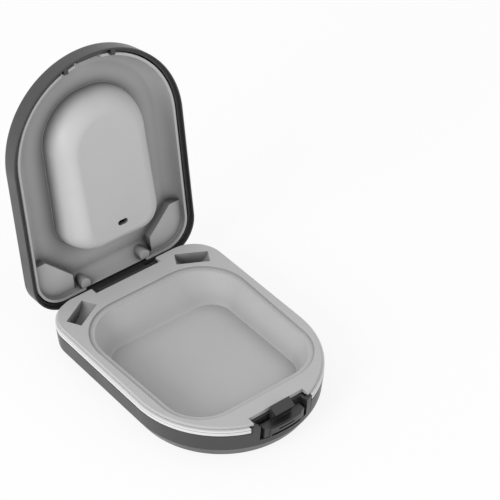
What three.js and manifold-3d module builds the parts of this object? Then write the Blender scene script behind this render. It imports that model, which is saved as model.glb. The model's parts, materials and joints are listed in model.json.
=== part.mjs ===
// A hinged hard case for a pair of hearing aids, standing open on its flat base.
// Millimetres, +Z up, +X to the right, the latch at the front (-Y) and the hinge at the back (+Y).
// The origin is the middle of the flat underside.
// The lid is drawn closed, in a group that is turned open about the hinge pin.

import * as THREE from 'three';
import { mergeVertices } from 'three/addons/utils/BufferGeometryUtils.js';
import Module from 'manifold-3d';

const wasm = await Module();
wasm.setup();

// The whole case
const case_length = 90;
const case_width = 68.2;
const closed_height = 26.4;
const back_corner_radius = 12.5;
const open_angle_deg = 97.1;
const seat_gap = 0.3;
const front_arc_steps = 16;
const back_arc_steps = 8;
const least_radius = 0.3;
const overrun = 2;

// Base shell, the black lower half
const base_wall_top = 11.05;
const base_crease_height = 4.6;
const base_crease_inset = 0.6;
const base_foot_inset = 3.3;
const shell_wall = 1.6;
const shell_floor = 1.4;

// Light strip that lies on the base shell's wall
const strip_height = 1.93;
const strip_depth = 1.6;
const strip_chamfer = 0.4;
const strip_front_gap_half = 12.6;
const strip_back_gap_half = 15.6;
const strip_end_gap = 0.3;

// Inner tray
const deck_height = 14.6;
const deck_thickness = 1.5;
const lip_inset = 0.85;
const skirt_depth = 2.9;
const skirt_wall = 1.4;
const tray_wall = 1.5;
const well_side_margin_back = 3;
const well_side_margin_front = 4.8;
const well_back_margin = 11;
const well_front_margin = 11.5;
const well_back_radius = 14.5;
const well_front_corner_margin = 20.6;
const ledge_width = 2.1;
const ledge_depth = 0.5;
const edge_chamfer = 0.3;
const floor_side_margin = 11.9;
const floor_back_margin = 21;
const floor_front_margin = 19;
const floor_corner_radius = 8.5;
const floor_fillet_height = 2.2;
const wall_foot_share = 0.68;
const fillet_steps = 4;

// Cradles in the tray's two back corners, each for a spare button cell on edge
const cradle_radius = 5.92;
const cradle_width = 5.6;
const cradle_wall = 1;
const cradle_side_margin = 10.6;
const cradle_back_margin = 9.1;
const cradle_turn_deg = -29;
const cradle_steps = 24;

// Hinge
const hinge_height = 10.36;
const hinge_back_margin = 1.2;
const hinge_pin_radius = 0.8;
const pin_clearance = 0.3;
const barrel_radius = 2;
const barrel_half = 11.2;
const knuckle_gap = 0.3;
const knuckle_width = 2.8;
const hinge_slot_half = 13.7;
const hinge_slot_clearance = 0.6;
const knuckle_web_thickness = 2;
const round_steps = 20;

// Latch
const pocket_half = 9.6;
const pocket_bottom = 6.9;
const button_half = 8.2;
const button_top = 11.3;
const button_depth = 2.5;
const pad_half = 6.4;
const pad_proud = 0.6;
const pad_top_margin = 0.9;
const grip_half = 3.2;
const grip_groove = 0.35;
const latch_pivot_height = 4.3;
const latch_pivot_margin = 4.6;
const latch_pin_radius = 0.6;
const latch_boss_radius = 1.5;
const latch_travel_deg = 5.5;
const cheek_thickness = 1.3;
const housing_top = 12.8;
const bulkhead_margin = 5.1;
const bulkhead_thickness = 1.2;
const latch_deck_margin = 5.7;
const latch_deck_half = 11.2;
const lip_end_half = 12.4;
const lip_end_margin = 2.5;
const arm_half = 4;
const arm_thickness = 1.4;
const hook_back_margin = 3.9;
const hook_top = 17;
const hook_nose_margin = 0.9;
const hook_nose_thickness = 0.5;
const spring_height = 8.6;
const spring_radius = 1.6;
const spring_wire_radius = 0.25;
const spring_turns = 4.5;
const spring_steps_per_turn = 10;
const wire_sides = 6;
const spring_seat_margin = 9.2;
const spring_seat_thickness = 1.2;
const spring_seat_half = 3;
const spring_post_radius = 1;
const spring_post_length = 1.2;

// Lid shell, the black upper half
const rim_lip = 0.55;
const rim_wall = 1.57;
const rim_step = 1.3;
const lid_crease_height = 19.6;
const lid_crease_inset = 0.27;
const dome_inset = 12.2;
const dome_roundness = 1.305;
const dome_steps = 7;
const lid_wall = 1.6;
const dome_inner_drop = 0.4;
const catch_half = 5;
const catch_height = 1;
const catch_recess_depth = 1;
const tab_inner = 8.5;
const tab_outer = 10.2;
const tab_end_margin = 3.9;
const tab_room_margin = 4.9;
const tab_height = 2;

// Crescent pressed into the top of the lid
const crescent_depth = 0.4;
const crescent_side_margin = 13.1;
const crescent_tip_margin = 26.6;
const crescent_inner_margin = 29.7;
const crescent_outer_margin = 23;
const crescent_steps = 14;
const crescent_inner_fullness = 2.1;
const crescent_outer_fullness = 2.5;

// Lid liner, the grey inside of the lid
const liner_wall = 1.5;
const liner_rim_inset = 3.15;
const liner_ceiling = 17.5;
const liner_fillet_run = 3.9;
const hump_side_margin = 15.1;
const hump_front_margin = 13.9;
const hump_back_margin = 18;
const hump_front_radius = 18;
const hump_back_radius = 8.5;
const hump_face_height = 9;
const hump_side_run = 7;
const hump_front_run = 9;
const hump_back_run = 5.5;
const hump_face_front_radius = 11.5;
const hump_face_back_radius = 6;
const hump_steps = 6;
const slit_length = 3.6;
const slit_width = 1.2;
const slit_x = 1.8;
const slit_back_margin = 26.5;
const ear_height = 16.7;
const ear_side_margin = 7.9;
const ear_side_back_margin = 18.7;
const ear_inner_margin = 17.7;
const ear_back_margin = 9.2;
const boss_radius = 2;
const boss_x = 12.6;
const boss_bottom = 15.2;
const boss_margin = 4.4;
const liner_slot_half = 12.9;

// Places that follow from the sizes
const front_y = -case_length / 2;
const back_y = case_length / 2;
const strip_bottom = base_wall_top + seat_gap;
const strip_top = strip_bottom + strip_height;
const lip_bottom = strip_top + seat_gap;
const skirt_inset = strip_depth + seat_gap + strip_end_gap / 2;
const tray_floor_bottom = shell_floor + seat_gap;
const tray_floor = tray_floor_bottom + tray_wall;
const hinge_y = back_y - hinge_back_margin;
const lid_bottom = strip_top + seat_gap;
const rim_step_height = lid_bottom + rim_step;
const latch_pivot_y = front_y + latch_pivot_margin;
const hook_back_y = front_y + hook_back_margin;
const button_back_y = front_y + button_depth;
const spring_back_y = front_y + spring_seat_margin - seat_gap;
const spring_front_y = hook_back_y + seat_gap;

const black_plastic = new THREE.MeshStandardMaterial({ color: 0x303032, roughness: 0.5, metalness: 0 });
const grey_plastic = new THREE.MeshStandardMaterial({ color: 0xb4b4b4, roughness: 0.65, metalness: 0 });
const light_plastic = new THREE.MeshStandardMaterial({ color: 0xe2e2e2, roughness: 0.5, metalness: 0 });
const steel = new THREE.MeshStandardMaterial({ color: 0xb9bcc0, roughness: 0.3, metalness: 1 });

// Plan outlines: a symmetric four-sided plan with round corners, its sides straight or leaning
const case_plan = {
  front: front_y,
  back: back_y,
  front_half: case_width / 2,
  back_half: case_width / 2,
  front_radius: case_width / 2,
  back_radius: back_corner_radius,
};
const well_plan = {
  front: front_y + well_front_margin,
  back: back_y - well_back_margin,
  front_half: case_width / 2 - well_side_margin_front,
  back_half: case_width / 2 - well_side_margin_back,
  front_radius: case_width / 2 - well_front_corner_margin,
  back_radius: well_back_radius,
};
const mouth_plan = inward(well_plan, ledge_width);
const floor_plan = {
  front: front_y + floor_front_margin,
  back: back_y - floor_back_margin,
  front_half: case_width / 2 - floor_side_margin,
  back_half: case_width / 2 - floor_side_margin,
  front_radius: floor_corner_radius,
  back_radius: floor_corner_radius,
};
const hump_plan = {
  front: front_y + hump_front_margin,
  back: back_y - hump_back_margin,
  front_half: case_width / 2 - hump_side_margin,
  back_half: case_width / 2 - hump_side_margin,
  front_radius: hump_front_radius,
  back_radius: hump_back_radius,
};
const hump_face_plan = {
  front: hump_plan.front + hump_front_run,
  back: hump_plan.back - hump_back_run,
  front_half: hump_plan.front_half - hump_side_run,
  back_half: hump_plan.back_half - hump_side_run,
  front_radius: hump_face_front_radius,
  back_radius: hump_face_back_radius,
};

// The same plan drawn smaller all round
function inward(plan, inset) {
  return {
    front: plan.front + inset,
    back: plan.back - inset,
    front_half: plan.front_half - inset,
    back_half: plan.back_half - inset,
    front_radius: plan.front_radius - inset,
    back_radius: plan.back_radius - inset,
  };
}

// A plan part of the way from one to another
function between(first, last, share) {
  const plan = {};
  for (const key of Object.keys(first)) {
    plan[key] = THREE.MathUtils.lerp(first[key], last[key], share);
  }
  return plan;
}

// Steps of a rounded corner in section, as shares across and shares down
function roundSteps(steps) {
  const corner = [];
  for (let i = 0; i <= steps; i++) {
    const angle = (Math.PI / 2) * (i / steps);
    corner.push({ across: 1 - Math.cos(angle), down: Math.sin(angle) });
  }
  return corner;
}

// Points of a plan's outline, anticlockwise, moved inwards by inset
function outline(plan, inset) {
  const lean = Math.atan2(plan.back_half - plan.front_half, plan.back - plan.front);
  const front = plan.front + inset;
  const back = plan.back - inset;
  const sideAt = (y) => plan.front_half + (y - plan.front) * Math.tan(lean) - inset / Math.cos(lean);
  const corner = (edge_y, towards, wanted) => {
    const radius = Math.min(Math.max(wanted - inset, least_radius), sideAt(edge_y));
    const y = edge_y + towards * radius;
    return { x: Math.max(0, sideAt(y) - radius / Math.cos(lean)), y, radius };
  };
  const right = [];
  const addArc = ({ x, y, radius }, from, to, steps) => {
    for (let i = 0; i <= steps; i++) {
      const angle = from + (to - from) * (i / steps);
      right.push(new THREE.Vector2(x + radius * Math.cos(angle), y + radius * Math.sin(angle)));
    }
  };
  addArc(corner(front, 1, plan.front_radius), -Math.PI / 2, -lean, front_arc_steps);
  addArc(corner(back, -1, plan.back_radius), -lean, Math.PI / 2, back_arc_steps);
  const left = right.map((p) => new THREE.Vector2(-p.x, p.y)).reverse();
  if (plan.front_radius >= plan.front_half) left.pop();
  return right.concat(left);
}

// Closed body through a stack of outlines, each a plan, an inset and a height
function loft(sections) {
  const rings = sections.map(([plan, inset, z]) => ({ points: outline(plan, inset), z }));
  const count = rings[0].points.length;
  const positions = [];
  const indices = [];
  for (const { points, z } of rings) {
    for (const p of points) positions.push(p.x, p.y, z);
  }
  for (let ring = 0; ring + 1 < rings.length; ring++) {
    for (let i = 0; i < count; i++) {
      const a = ring * count + i;
      const b = ring * count + ((i + 1) % count);
      indices.push(a, b, b + count, a, b + count, a + count);
    }
  }
  const top = (rings.length - 1) * count;
  for (const [a, b, c] of THREE.ShapeUtils.triangulateShape(rings[0].points, [])) {
    indices.push(a, c, b);
  }
  for (const [a, b, c] of THREE.ShapeUtils.triangulateShape(rings.at(-1).points, [])) {
    indices.push(top + a, top + b, top + c);
  }
  const geometry = new THREE.BufferGeometry();
  geometry.setAttribute('position', new THREE.Float32BufferAttribute(positions, 3));
  geometry.setIndex(indices);
  return solidOf(geometry);
}

// A closed three.js geometry as a solid that can be joined and cut
function solidOf(geometry) {
  const bare = geometry.clone();
  bare.deleteAttribute('normal');
  bare.deleteAttribute('uv');
  const merged = mergeVertices(bare);
  return new wasm.Manifold(new wasm.Mesh({
    numProp: 3,
    vertProperties: new Float32Array(merged.attributes.position.array),
    triVerts: new Uint32Array(merged.index.array),
  }));
}

function piece(name, solid, material) {
  const { vertProperties, triVerts } = solid.getMesh();
  const geometry = new THREE.BufferGeometry();
  geometry.setAttribute('position', new THREE.BufferAttribute(vertProperties, 3));
  geometry.setIndex(new THREE.BufferAttribute(triVerts, 1));
  geometry.computeVertexNormals();
  const mesh = new THREE.Mesh(geometry, material);
  mesh.name = name;
  return mesh;
}

// Block between two corners
function block(x0, x1, y0, y1, z0, z1) {
  const geometry = new THREE.BoxGeometry(x1 - x0, y1 - y0, z1 - z0);
  geometry.translate((x0 + x1) / 2, (y0 + y1) / 2, (z0 + z1) / 2);
  return solidOf(geometry);
}

// The same block on the right and on the left
function blockPair(x0, x1, y0, y1, z0, z1) {
  return block(x0, x1, y0, y1, z0, z1).add(block(-x1, -x0, y0, y1, z0, z1));
}

// Round bar along X
function barX(x0, x1, y, z, radius) {
  const geometry = new THREE.CylinderGeometry(radius, radius, x1 - x0, round_steps);
  geometry.rotateZ(Math.PI / 2);
  geometry.translate((x0 + x1) / 2, y, z);
  return solidOf(geometry);
}

// Round post along Y
function barY(y0, y1, x, z, radius) {
  const geometry = new THREE.CylinderGeometry(radius, radius, y1 - y0, round_steps);
  geometry.translate(x, (y0 + y1) / 2, z);
  return solidOf(geometry);
}

// A side profile of [y, z] corners, drawn out along X
function profileX(corners, x0, x1) {
  const shape = new THREE.Shape(corners.map(([y, z]) => new THREE.Vector2(y, z)));
  const geometry = new THREE.ExtrudeGeometry(shape, { depth: x1 - x0, bevelEnabled: false });
  const turn = new THREE.Matrix4().makeBasis(
    new THREE.Vector3(0, 1, 0), new THREE.Vector3(0, 0, 1), new THREE.Vector3(1, 0, 0));
  geometry.applyMatrix4(turn);
  geometry.translate(x0, 0, 0);
  return solidOf(geometry);
}

// Outer inset of the base shell's wall at a height
function baseInsetAt(z) {
  if (z < base_crease_height) {
    return THREE.MathUtils.mapLinear(z, 0, base_crease_height, base_foot_inset, base_crease_inset);
  }
  return THREE.MathUtils.mapLinear(Math.min(z, base_wall_top), base_crease_height, base_wall_top,
    base_crease_inset, 0);
}

// The lower half as one filled body, grown or taken in all round
function baseBody(inset, top) {
  return loft([
    [case_plan, base_foot_inset + inset, 0],
    [case_plan, base_crease_inset + inset, base_crease_height],
    [case_plan, inset, base_wall_top],
    [case_plan, inset, top],
  ]);
}

function baseCavity() {
  return loft([
    [case_plan, baseInsetAt(shell_floor) + shell_wall, shell_floor],
    [case_plan, base_crease_inset + shell_wall, base_crease_height],
    [case_plan, shell_wall, base_wall_top],
    [case_plan, shell_wall, strip_top + overrun],
  ]);
}

// Box behind the latch: two cheeks that hold the pin, a bulkhead and the spring's seat
function latchHousing() {
  const bulkhead_y = front_y + bulkhead_margin;
  const seat_y = front_y + spring_seat_margin;
  const outer_half = pocket_half + cheek_thickness;
  const window_half = spring_radius + spring_wire_radius + seat_gap;
  const bulkhead_back_y = bulkhead_y + bulkhead_thickness;
  const cheeks = blockPair(pocket_half, outer_half, front_y, bulkhead_back_y, 0, housing_top);
  const bulkhead_bottom = latch_pivot_height + latch_boss_radius + seat_gap;
  const bulkhead = block(-outer_half, outer_half, bulkhead_y, bulkhead_back_y, bulkhead_bottom, housing_top);
  const window = block(-window_half, window_half, bulkhead_y - overrun, bulkhead_back_y + overrun,
    bulkhead_bottom - overrun, spring_height + window_half);
  const seat = block(-spring_seat_half, spring_seat_half, seat_y, seat_y + spring_seat_thickness,
    0, spring_height + window_half);
  const post = barY(seat_y - spring_post_length, seat_y + spring_seat_thickness / 2, 0, spring_height,
    spring_post_radius);
  return cheeks.add(bulkhead).subtract(window).add(seat).add(post);
}

// Two fixed knuckles that carry the hinge pin, each on a web that stands on the floor
function hingeKnuckles() {
  const inner = barrel_half + knuckle_gap;
  const outer = inner + knuckle_width;
  const web_y = hinge_y - knuckle_web_thickness / 2;
  const bars = barX(inner, outer, hinge_y, hinge_height, barrel_radius)
    .add(barX(-outer, -inner, hinge_y, hinge_height, barrel_radius));
  const webs = blockPair(inner, outer, web_y, web_y + knuckle_web_thickness, 0, hinge_height)
    .intersect(baseBody(0, strip_top));
  const bore_radius = hinge_pin_radius + pin_clearance;
  return { solid: bars.add(webs), bore: barX(-outer, outer, hinge_y, hinge_height, bore_radius) };
}

function baseShell() {
  const notch_bottom = hinge_height - barrel_radius - seat_gap;
  const front_frame = strip_front_gap_half - strip_end_gap;
  const back_frame = strip_back_gap_half - strip_end_gap;
  const frames = block(-front_frame, front_frame, front_y, front_y + latch_deck_margin, 0, strip_top)
    .add(block(-back_frame, back_frame, hinge_y - barrel_radius, back_y, 0, strip_top))
    .intersect(baseBody(0, strip_top));
  const housing = latchHousing().intersect(baseBody(0, strip_top));
  const pocket = block(-pocket_half, pocket_half, front_y - overrun, front_y + bulkhead_margin,
    pocket_bottom, strip_top + overrun);
  const hinge_notch = block(-hinge_slot_half, hinge_slot_half, hinge_y - barrel_radius, back_y + overrun,
    notch_bottom, strip_top + overrun);
  const latch_bore = barX(-pocket_half - cheek_thickness, pocket_half + cheek_thickness,
    latch_pivot_y, latch_pivot_height, latch_pin_radius + pin_clearance);
  const knuckles = hingeKnuckles();
  const walls = baseBody(0, base_wall_top).add(frames).subtract(baseCavity());
  return walls.add(housing).subtract(pocket).subtract(hinge_notch).subtract(latch_bore)
    .add(knuckles.solid).subtract(knuckles.bore);
}

// Ring of the light strip, with a chamfered top edge, open at the latch and at the hinge
function stripRing() {
  const outer = loft([
    [case_plan, 0, strip_bottom],
    [case_plan, 0, strip_top - strip_chamfer],
    [case_plan, strip_chamfer, strip_top],
  ]);
  const inner = loft([
    [case_plan, strip_depth, strip_bottom - overrun],
    [case_plan, strip_depth, strip_top + overrun],
  ]);
  const low = strip_bottom - overrun;
  const high = strip_top + overrun;
  return outer.subtract(inner)
    .subtract(block(-strip_front_gap_half, strip_front_gap_half, front_y - overrun, 0, low, high))
    .subtract(block(-strip_back_gap_half, strip_back_gap_half, 0, back_y + overrun, low, high));
}

// Fillet between a wall and a flat: insets and heights along a quarter ellipse
function filletSections(plan, wall_inset, wall_z, flat_inset, flat_z) {
  return roundSteps(fillet_steps).map(({ across, down }) => [
    plan,
    THREE.MathUtils.lerp(wall_inset, flat_inset, across),
    THREE.MathUtils.lerp(wall_z, flat_z, down),
  ]);
}

// The well as a filled body, grown by a wall thickness for the tub around it
function wellBody(wall, floor_z, top) {
  const fillet_top = floor_z + floor_fillet_height;
  const mouth_z = deck_height - ledge_depth;
  const fillet = roundSteps(fillet_steps).map(({ across, down }) => [
    between(mouth_plan, floor_plan, THREE.MathUtils.lerp(wall_foot_share, 1, across)),
    -wall,
    THREE.MathUtils.lerp(fillet_top, floor_z, down),
  ]);
  return loft([
    ...fillet.reverse(),
    [mouth_plan, -wall, mouth_z - edge_chamfer],
    [mouth_plan, -wall - edge_chamfer, mouth_z],
    [mouth_plan, -wall - edge_chamfer, top],
  ]);
}

// Half-round cradle in the deck, on one side: the cut, or the tub when grown by a wall
function cradleBody(side, wall) {
  const radius = cradle_radius + wall;
  const width = cradle_width + wall + wall;
  const x = side * (case_width / 2 - cradle_side_margin);
  const round = new THREE.CylinderGeometry(radius, radius, width, cradle_steps);
  const turn = side * THREE.MathUtils.degToRad(cradle_turn_deg);
  const y = back_y - cradle_back_margin;
  round.rotateZ(turn);
  round.translate(x, y, deck_height);
  const upper = new THREE.BoxGeometry(radius + radius, width, overrun);
  upper.rotateZ(turn);
  upper.translate(x, y, deck_height + overrun / 2);
  const lower_half = block(-case_width, case_width, 0, back_y + overrun, 0, deck_height);
  const tub = solidOf(round).intersect(lower_half);
  return wall > 0 ? tub : tub.add(solidOf(upper));
}

function tray() {
  const lip = loft([
    [case_plan, lip_inset, lip_bottom],
    [case_plan, lip_inset, deck_height - edge_chamfer],
    [case_plan, lip_inset + edge_chamfer, deck_height],
  ]);
  const skirt_bottom = deck_height - deck_thickness - skirt_depth;
  const skirt = loft([
    [case_plan, skirt_inset, skirt_bottom],
    [case_plan, skirt_inset, lip_bottom],
  ]);
  const skirt_hollow = loft([
    [case_plan, skirt_inset + skirt_wall, skirt_bottom - overrun],
    [case_plan, skirt_inset + skirt_wall, deck_height - deck_thickness],
  ]);
  const inside_skirt = loft([
    [case_plan, skirt_inset, tray_floor_bottom],
    [case_plan, skirt_inset, deck_height],
  ]);
  const ledge = loft([
    [well_plan, 0, deck_height - ledge_depth],
    [well_plan, 0, deck_height + overrun],
  ]);
  const tubs = cradleBody(1, cradle_wall).add(cradleBody(-1, cradle_wall)).intersect(inside_skirt);
  const well_tub = wellBody(tray_wall, tray_floor_bottom, deck_height);
  const slot_front = hinge_y - barrel_radius - hinge_slot_clearance;
  const slot = block(-hinge_slot_half, hinge_slot_half, slot_front, back_y + overrun,
    0, deck_height + overrun);
  const slot_below_half = barrel_half + knuckle_gap + knuckle_width + seat_gap;
  const slot_below = block(-slot_below_half, slot_below_half, slot_front, back_y + overrun,
    0, deck_height - deck_thickness);
  const latch_notch = block(-latch_deck_half, latch_deck_half,
    front_y - overrun, front_y + latch_deck_margin, 0, deck_height + overrun);
  const lip_ends = block(-lip_end_half, lip_end_half, front_y - overrun, front_y + lip_end_margin,
    0, deck_height + overrun);
  const notch_below = block(-strip_front_gap_half, strip_front_gap_half, front_y - overrun,
    front_y + bulkhead_margin + bulkhead_thickness + seat_gap, 0, deck_height - deck_thickness);
  return lip.add(skirt).subtract(skirt_hollow).add(tubs).add(well_tub)
    .subtract(wellBody(0, tray_floor, deck_height + overrun)).subtract(ledge)
    .subtract(cradleBody(1, 0)).subtract(cradleBody(-1, 0))
    .subtract(slot).subtract(slot_below).subtract(latch_notch).subtract(lip_ends).subtract(notch_below);
}

// Button, arm and hook in one piece, turning on the latch pin
function latchButton() {
  const outer_face = baseBody(0, strip_top);
  const pad_face = baseBody(-pad_proud, strip_top);
  const button_bottom = pocket_bottom + seat_gap;
  const body = block(-button_half, button_half, front_y, button_back_y, button_bottom, button_top)
    .intersect(outer_face);
  const pad = block(-pad_half, pad_half, front_y - pad_proud, button_back_y,
    button_bottom, button_top - pad_top_margin).intersect(pad_face);
  const grip_height = (button_bottom + button_top) / 2;
  const grip = block(-grip_half, grip_half, front_y - overrun, front_y - pad_proud + grip_groove,
    grip_height - grip_groove, grip_height);
  const arm_front_y = hook_back_y - arm_thickness;
  const nose_y = front_y + hook_nose_margin;
  const nose_bottom = lid_bottom + catch_height + seat_gap;
  const plate = block(-button_half, button_half, arm_front_y, hook_back_y, button_bottom, button_top);
  const inside_wall = baseBody(shell_wall + seat_gap, strip_top);
  const arm = profileX([
    [arm_front_y, button_bottom],
    [hook_back_y, button_bottom],
    [hook_back_y, hook_top],
    [nose_y, nose_bottom + hook_nose_thickness],
    [nose_y, nose_bottom],
    [arm_front_y, nose_bottom],
  ], -arm_half, arm_half);
  const boss = barX(-button_half, button_half, latch_pivot_y, latch_pivot_height, latch_boss_radius);
  const leg = block(-button_half, button_half, arm_front_y, hook_back_y, latch_pivot_height, button_bottom);
  const foot = boss.add(leg).intersect(inside_wall);
  const bore = barX(-button_half - overrun, button_half + overrun, latch_pivot_y, latch_pivot_height,
    latch_pin_radius + pin_clearance);
  return body.add(pad).subtract(grip).add(plate).add(arm).add(foot).subtract(bore);
}

// Coil of the latch spring, along Y
class SpringPath extends THREE.Curve {
  getPoint(t) {
    const angle = t * spring_turns * Math.PI * 2;
    const first = spring_front_y + spring_wire_radius;
    const last = spring_back_y - spring_wire_radius;
    const y = THREE.MathUtils.lerp(first, last, t);
    return new THREE.Vector3(
      spring_radius * Math.cos(angle), y, spring_height + spring_radius * Math.sin(angle));
  }
}

function latchSpring() {
  const wire = new THREE.Shape();
  for (let i = 0; i < wire_sides; i++) {
    const angle = (i / wire_sides) * Math.PI * 2;
    const x = spring_wire_radius * Math.cos(angle);
    const y = spring_wire_radius * Math.sin(angle);
    if (i === 0) wire.moveTo(x, y);
    else wire.lineTo(x, y);
  }
  const steps = Math.round(spring_turns * spring_steps_per_turn);
  const geometry = new THREE.ExtrudeGeometry(wire, { steps, extrudePath: new SpringPath() });
  return solidOf(geometry);
}

// Height of the dome at a share of the way from the crease to the flat top
function domeRise(share) {
  return (1 - (1 - share) ** dome_roundness) ** (1 / dome_roundness);
}

function domeSections(inset_low, inset_high, z_low, z_high) {
  const sections = [];
  for (let i = 0; i <= dome_steps; i++) {
    const share = (i / dome_steps) ** 2;
    sections.push([case_plan, THREE.MathUtils.lerp(inset_low, inset_high, share),
      THREE.MathUtils.lerp(z_low, z_high, domeRise(share))]);
  }
  return sections;
}

// Outline of one edge of the crescent, from its left tip round the front to its right tip
function crescentEdge(apex_y, fullness) {
  const half = case_width / 2 - crescent_side_margin;
  const tip_y = back_y - crescent_tip_margin;
  const points = [];
  for (let i = 0; i <= crescent_steps; i++) {
    const angle = Math.PI * (i / crescent_steps);
    const x = -half * Math.sign(Math.cos(angle)) * Math.abs(Math.cos(angle)) ** (2 / fullness);
    const y = tip_y + (apex_y - tip_y) * Math.sin(angle) ** (2 / fullness);
    points.push(new THREE.Vector2(x, y));
  }
  return points;
}

function crescentCut() {
  const outer = crescentEdge(front_y + crescent_outer_margin, crescent_outer_fullness);
  const inner = crescentEdge(front_y + crescent_inner_margin, crescent_inner_fullness);
  const shape = new THREE.Shape(outer.concat(inner.slice(1, -1).reverse()));
  const depth = crescent_depth + overrun;
  const geometry = new THREE.ExtrudeGeometry(shape, { depth, bevelEnabled: false });
  geometry.translate(0, 0, closed_height - crescent_depth);
  return solidOf(geometry);
}

// Leaf and barrel that hang from the lid's back wall and turn on the hinge pin
function lidBarrel() {
  const leaf = block(-barrel_half, barrel_half, back_y - rim_wall, back_y, hinge_height, rim_step_height);
  const barrel = barX(-barrel_half, barrel_half, hinge_y, hinge_height, barrel_radius);
  const bore = barX(-barrel_half - overrun, barrel_half + overrun, hinge_y, hinge_height,
    hinge_pin_radius + pin_clearance);
  return leaf.add(barrel).subtract(bore);
}

function lidShell() {
  const outer = loft([
    [case_plan, 0, lid_bottom],
    ...domeSections(lid_crease_inset, dome_inset, lid_crease_height, closed_height),
  ]);
  const mouth = loft([
    [case_plan, rim_lip, lid_bottom - overrun],
    [case_plan, rim_lip, rim_step_height],
  ]);
  const inner = loft([
    [case_plan, rim_wall, lid_bottom],
    ...domeSections(lid_crease_inset + lid_wall, dome_inset + lid_wall / 2,
      lid_crease_height - dome_inner_drop, closed_height - lid_wall),
  ]);
  const bar_top = lid_bottom + catch_height;
  const bar = block(-catch_half, catch_half, front_y, front_y + rim_wall, lid_bottom, rim_step_height)
    .intersect(outer);
  const recess_top = hook_top + seat_gap;
  const recess_limit = loft([
    [case_plan, rim_wall - catch_recess_depth, bar_top],
    [case_plan, rim_wall - catch_recess_depth + lid_crease_inset, recess_top],
  ]);
  const recess = block(-catch_half, catch_half, front_y, front_y + rim_wall + overrun, bar_top, recess_top)
    .intersect(recess_limit);
  const tabs = blockPair(tab_inner, tab_outer, front_y, front_y + tab_end_margin,
    lid_bottom, lid_bottom + tab_height).intersect(outer);
  return outer.subtract(mouth).subtract(inner).add(bar).subtract(recess).add(tabs)
    .subtract(crescentCut()).add(lidBarrel());
}

// Hump that reaches down into the well, or its hollow back when taken in by a wall
function humpBody(wall, top) {
  const flank = roundSteps(hump_steps).map(({ across, down }) => [
    between(hump_plan, hump_face_plan, across),
    wall,
    THREE.MathUtils.lerp(liner_ceiling, hump_face_height + wall, down),
  ]);
  return loft([...flank.reverse(), [hump_plan, wall, top]]);
}

// Flat shelf in one back corner of the liner, over the cradle
function linerEar(side) {
  const edge = case_width / 2;
  const corners = [
    [edge - ear_side_margin, back_y - ear_side_back_margin],
    [edge, back_y - ear_side_back_margin],
    [edge, back_y],
    [edge - ear_inner_margin, back_y],
    [edge - ear_inner_margin, back_y - ear_back_margin],
  ].map(([x, y]) => new THREE.Vector2(side * x, y));
  const geometry = new THREE.ExtrudeGeometry(new THREE.Shape(corners), {
    depth: liner_ceiling + liner_wall / 2 - ear_height, bevelEnabled: false });
  geometry.translate(0, 0, ear_height);
  return solidOf(geometry);
}

function linerBoss(side) {
  const top = liner_ceiling + liner_wall / 2;
  const geometry = new THREE.CylinderGeometry(boss_radius, boss_radius, top - boss_bottom, round_steps);
  geometry.rotateX(Math.PI / 2);
  geometry.translate(side * boss_x, back_y - boss_margin, (top + boss_bottom) / 2);
  return solidOf(geometry);
}

function lidLiner() {
  const back_inset = lid_crease_inset + lid_wall + seat_gap;
  const back_top = liner_ceiling + liner_wall;
  const outer = loft([
    [case_plan, back_inset, rim_step_height],
    ...filletSections(case_plan, back_inset, liner_ceiling, back_inset + liner_fillet_run, back_top),
  ]);
  const inner = loft([
    [case_plan, liner_rim_inset, rim_step_height - overrun],
    ...filletSections(case_plan, liner_rim_inset, rim_step_height,
      liner_rim_inset + liner_fillet_run, liner_ceiling),
  ]);
  const within = loft([
    [case_plan, (back_inset + liner_rim_inset) / 2, boss_bottom],
    [case_plan, (back_inset + liner_rim_inset) / 2, back_top],
  ]);
  const extras = linerEar(1).add(linerEar(-1)).add(linerBoss(1)).add(linerBoss(-1)).intersect(within);
  const slit_y = back_y - slit_back_margin;
  const slit = block(slit_x - slit_length / 2, slit_x + slit_length / 2,
    slit_y - slit_width / 2, slit_y + slit_width / 2,
    hump_face_height - overrun, hump_face_height + liner_wall + overrun);
  const hinge_slot = block(-liner_slot_half, liner_slot_half, back_y - liner_rim_inset, back_y,
    rim_step_height - overrun, back_top + overrun);
  const hook_front = front_y + rim_wall;
  const rim_window = block(-catch_half, catch_half, hook_front, front_y + liner_rim_inset + seat_gap,
    rim_step_height - overrun, back_top + overrun);
  const hook_room = block(-catch_half, catch_half, hook_front, front_y + latch_deck_margin,
    rim_step_height - overrun, hook_top + seat_gap);
  const tab_room = blockPair(tab_inner - seat_gap, tab_outer + seat_gap, hook_front,
    front_y + tab_room_margin, rim_step_height - overrun, lid_bottom + tab_height + seat_gap);
  return outer.subtract(inner).add(extras).add(humpBody(0, back_top))
    .subtract(humpBody(liner_wall, back_top + overrun)).subtract(slit).subtract(hinge_slot)
    .subtract(rim_window).subtract(hook_room).subtract(tab_room);
}

function hingePin() {
  const half = barrel_half + knuckle_gap + knuckle_width - seat_gap;
  return barX(-half, half, hinge_y, hinge_height, hinge_pin_radius);
}

function latchPin() {
  const half = pocket_half + cheek_thickness - seat_gap;
  return barX(-half, half, latch_pivot_y, latch_pivot_height, latch_pin_radius);
}

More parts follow.
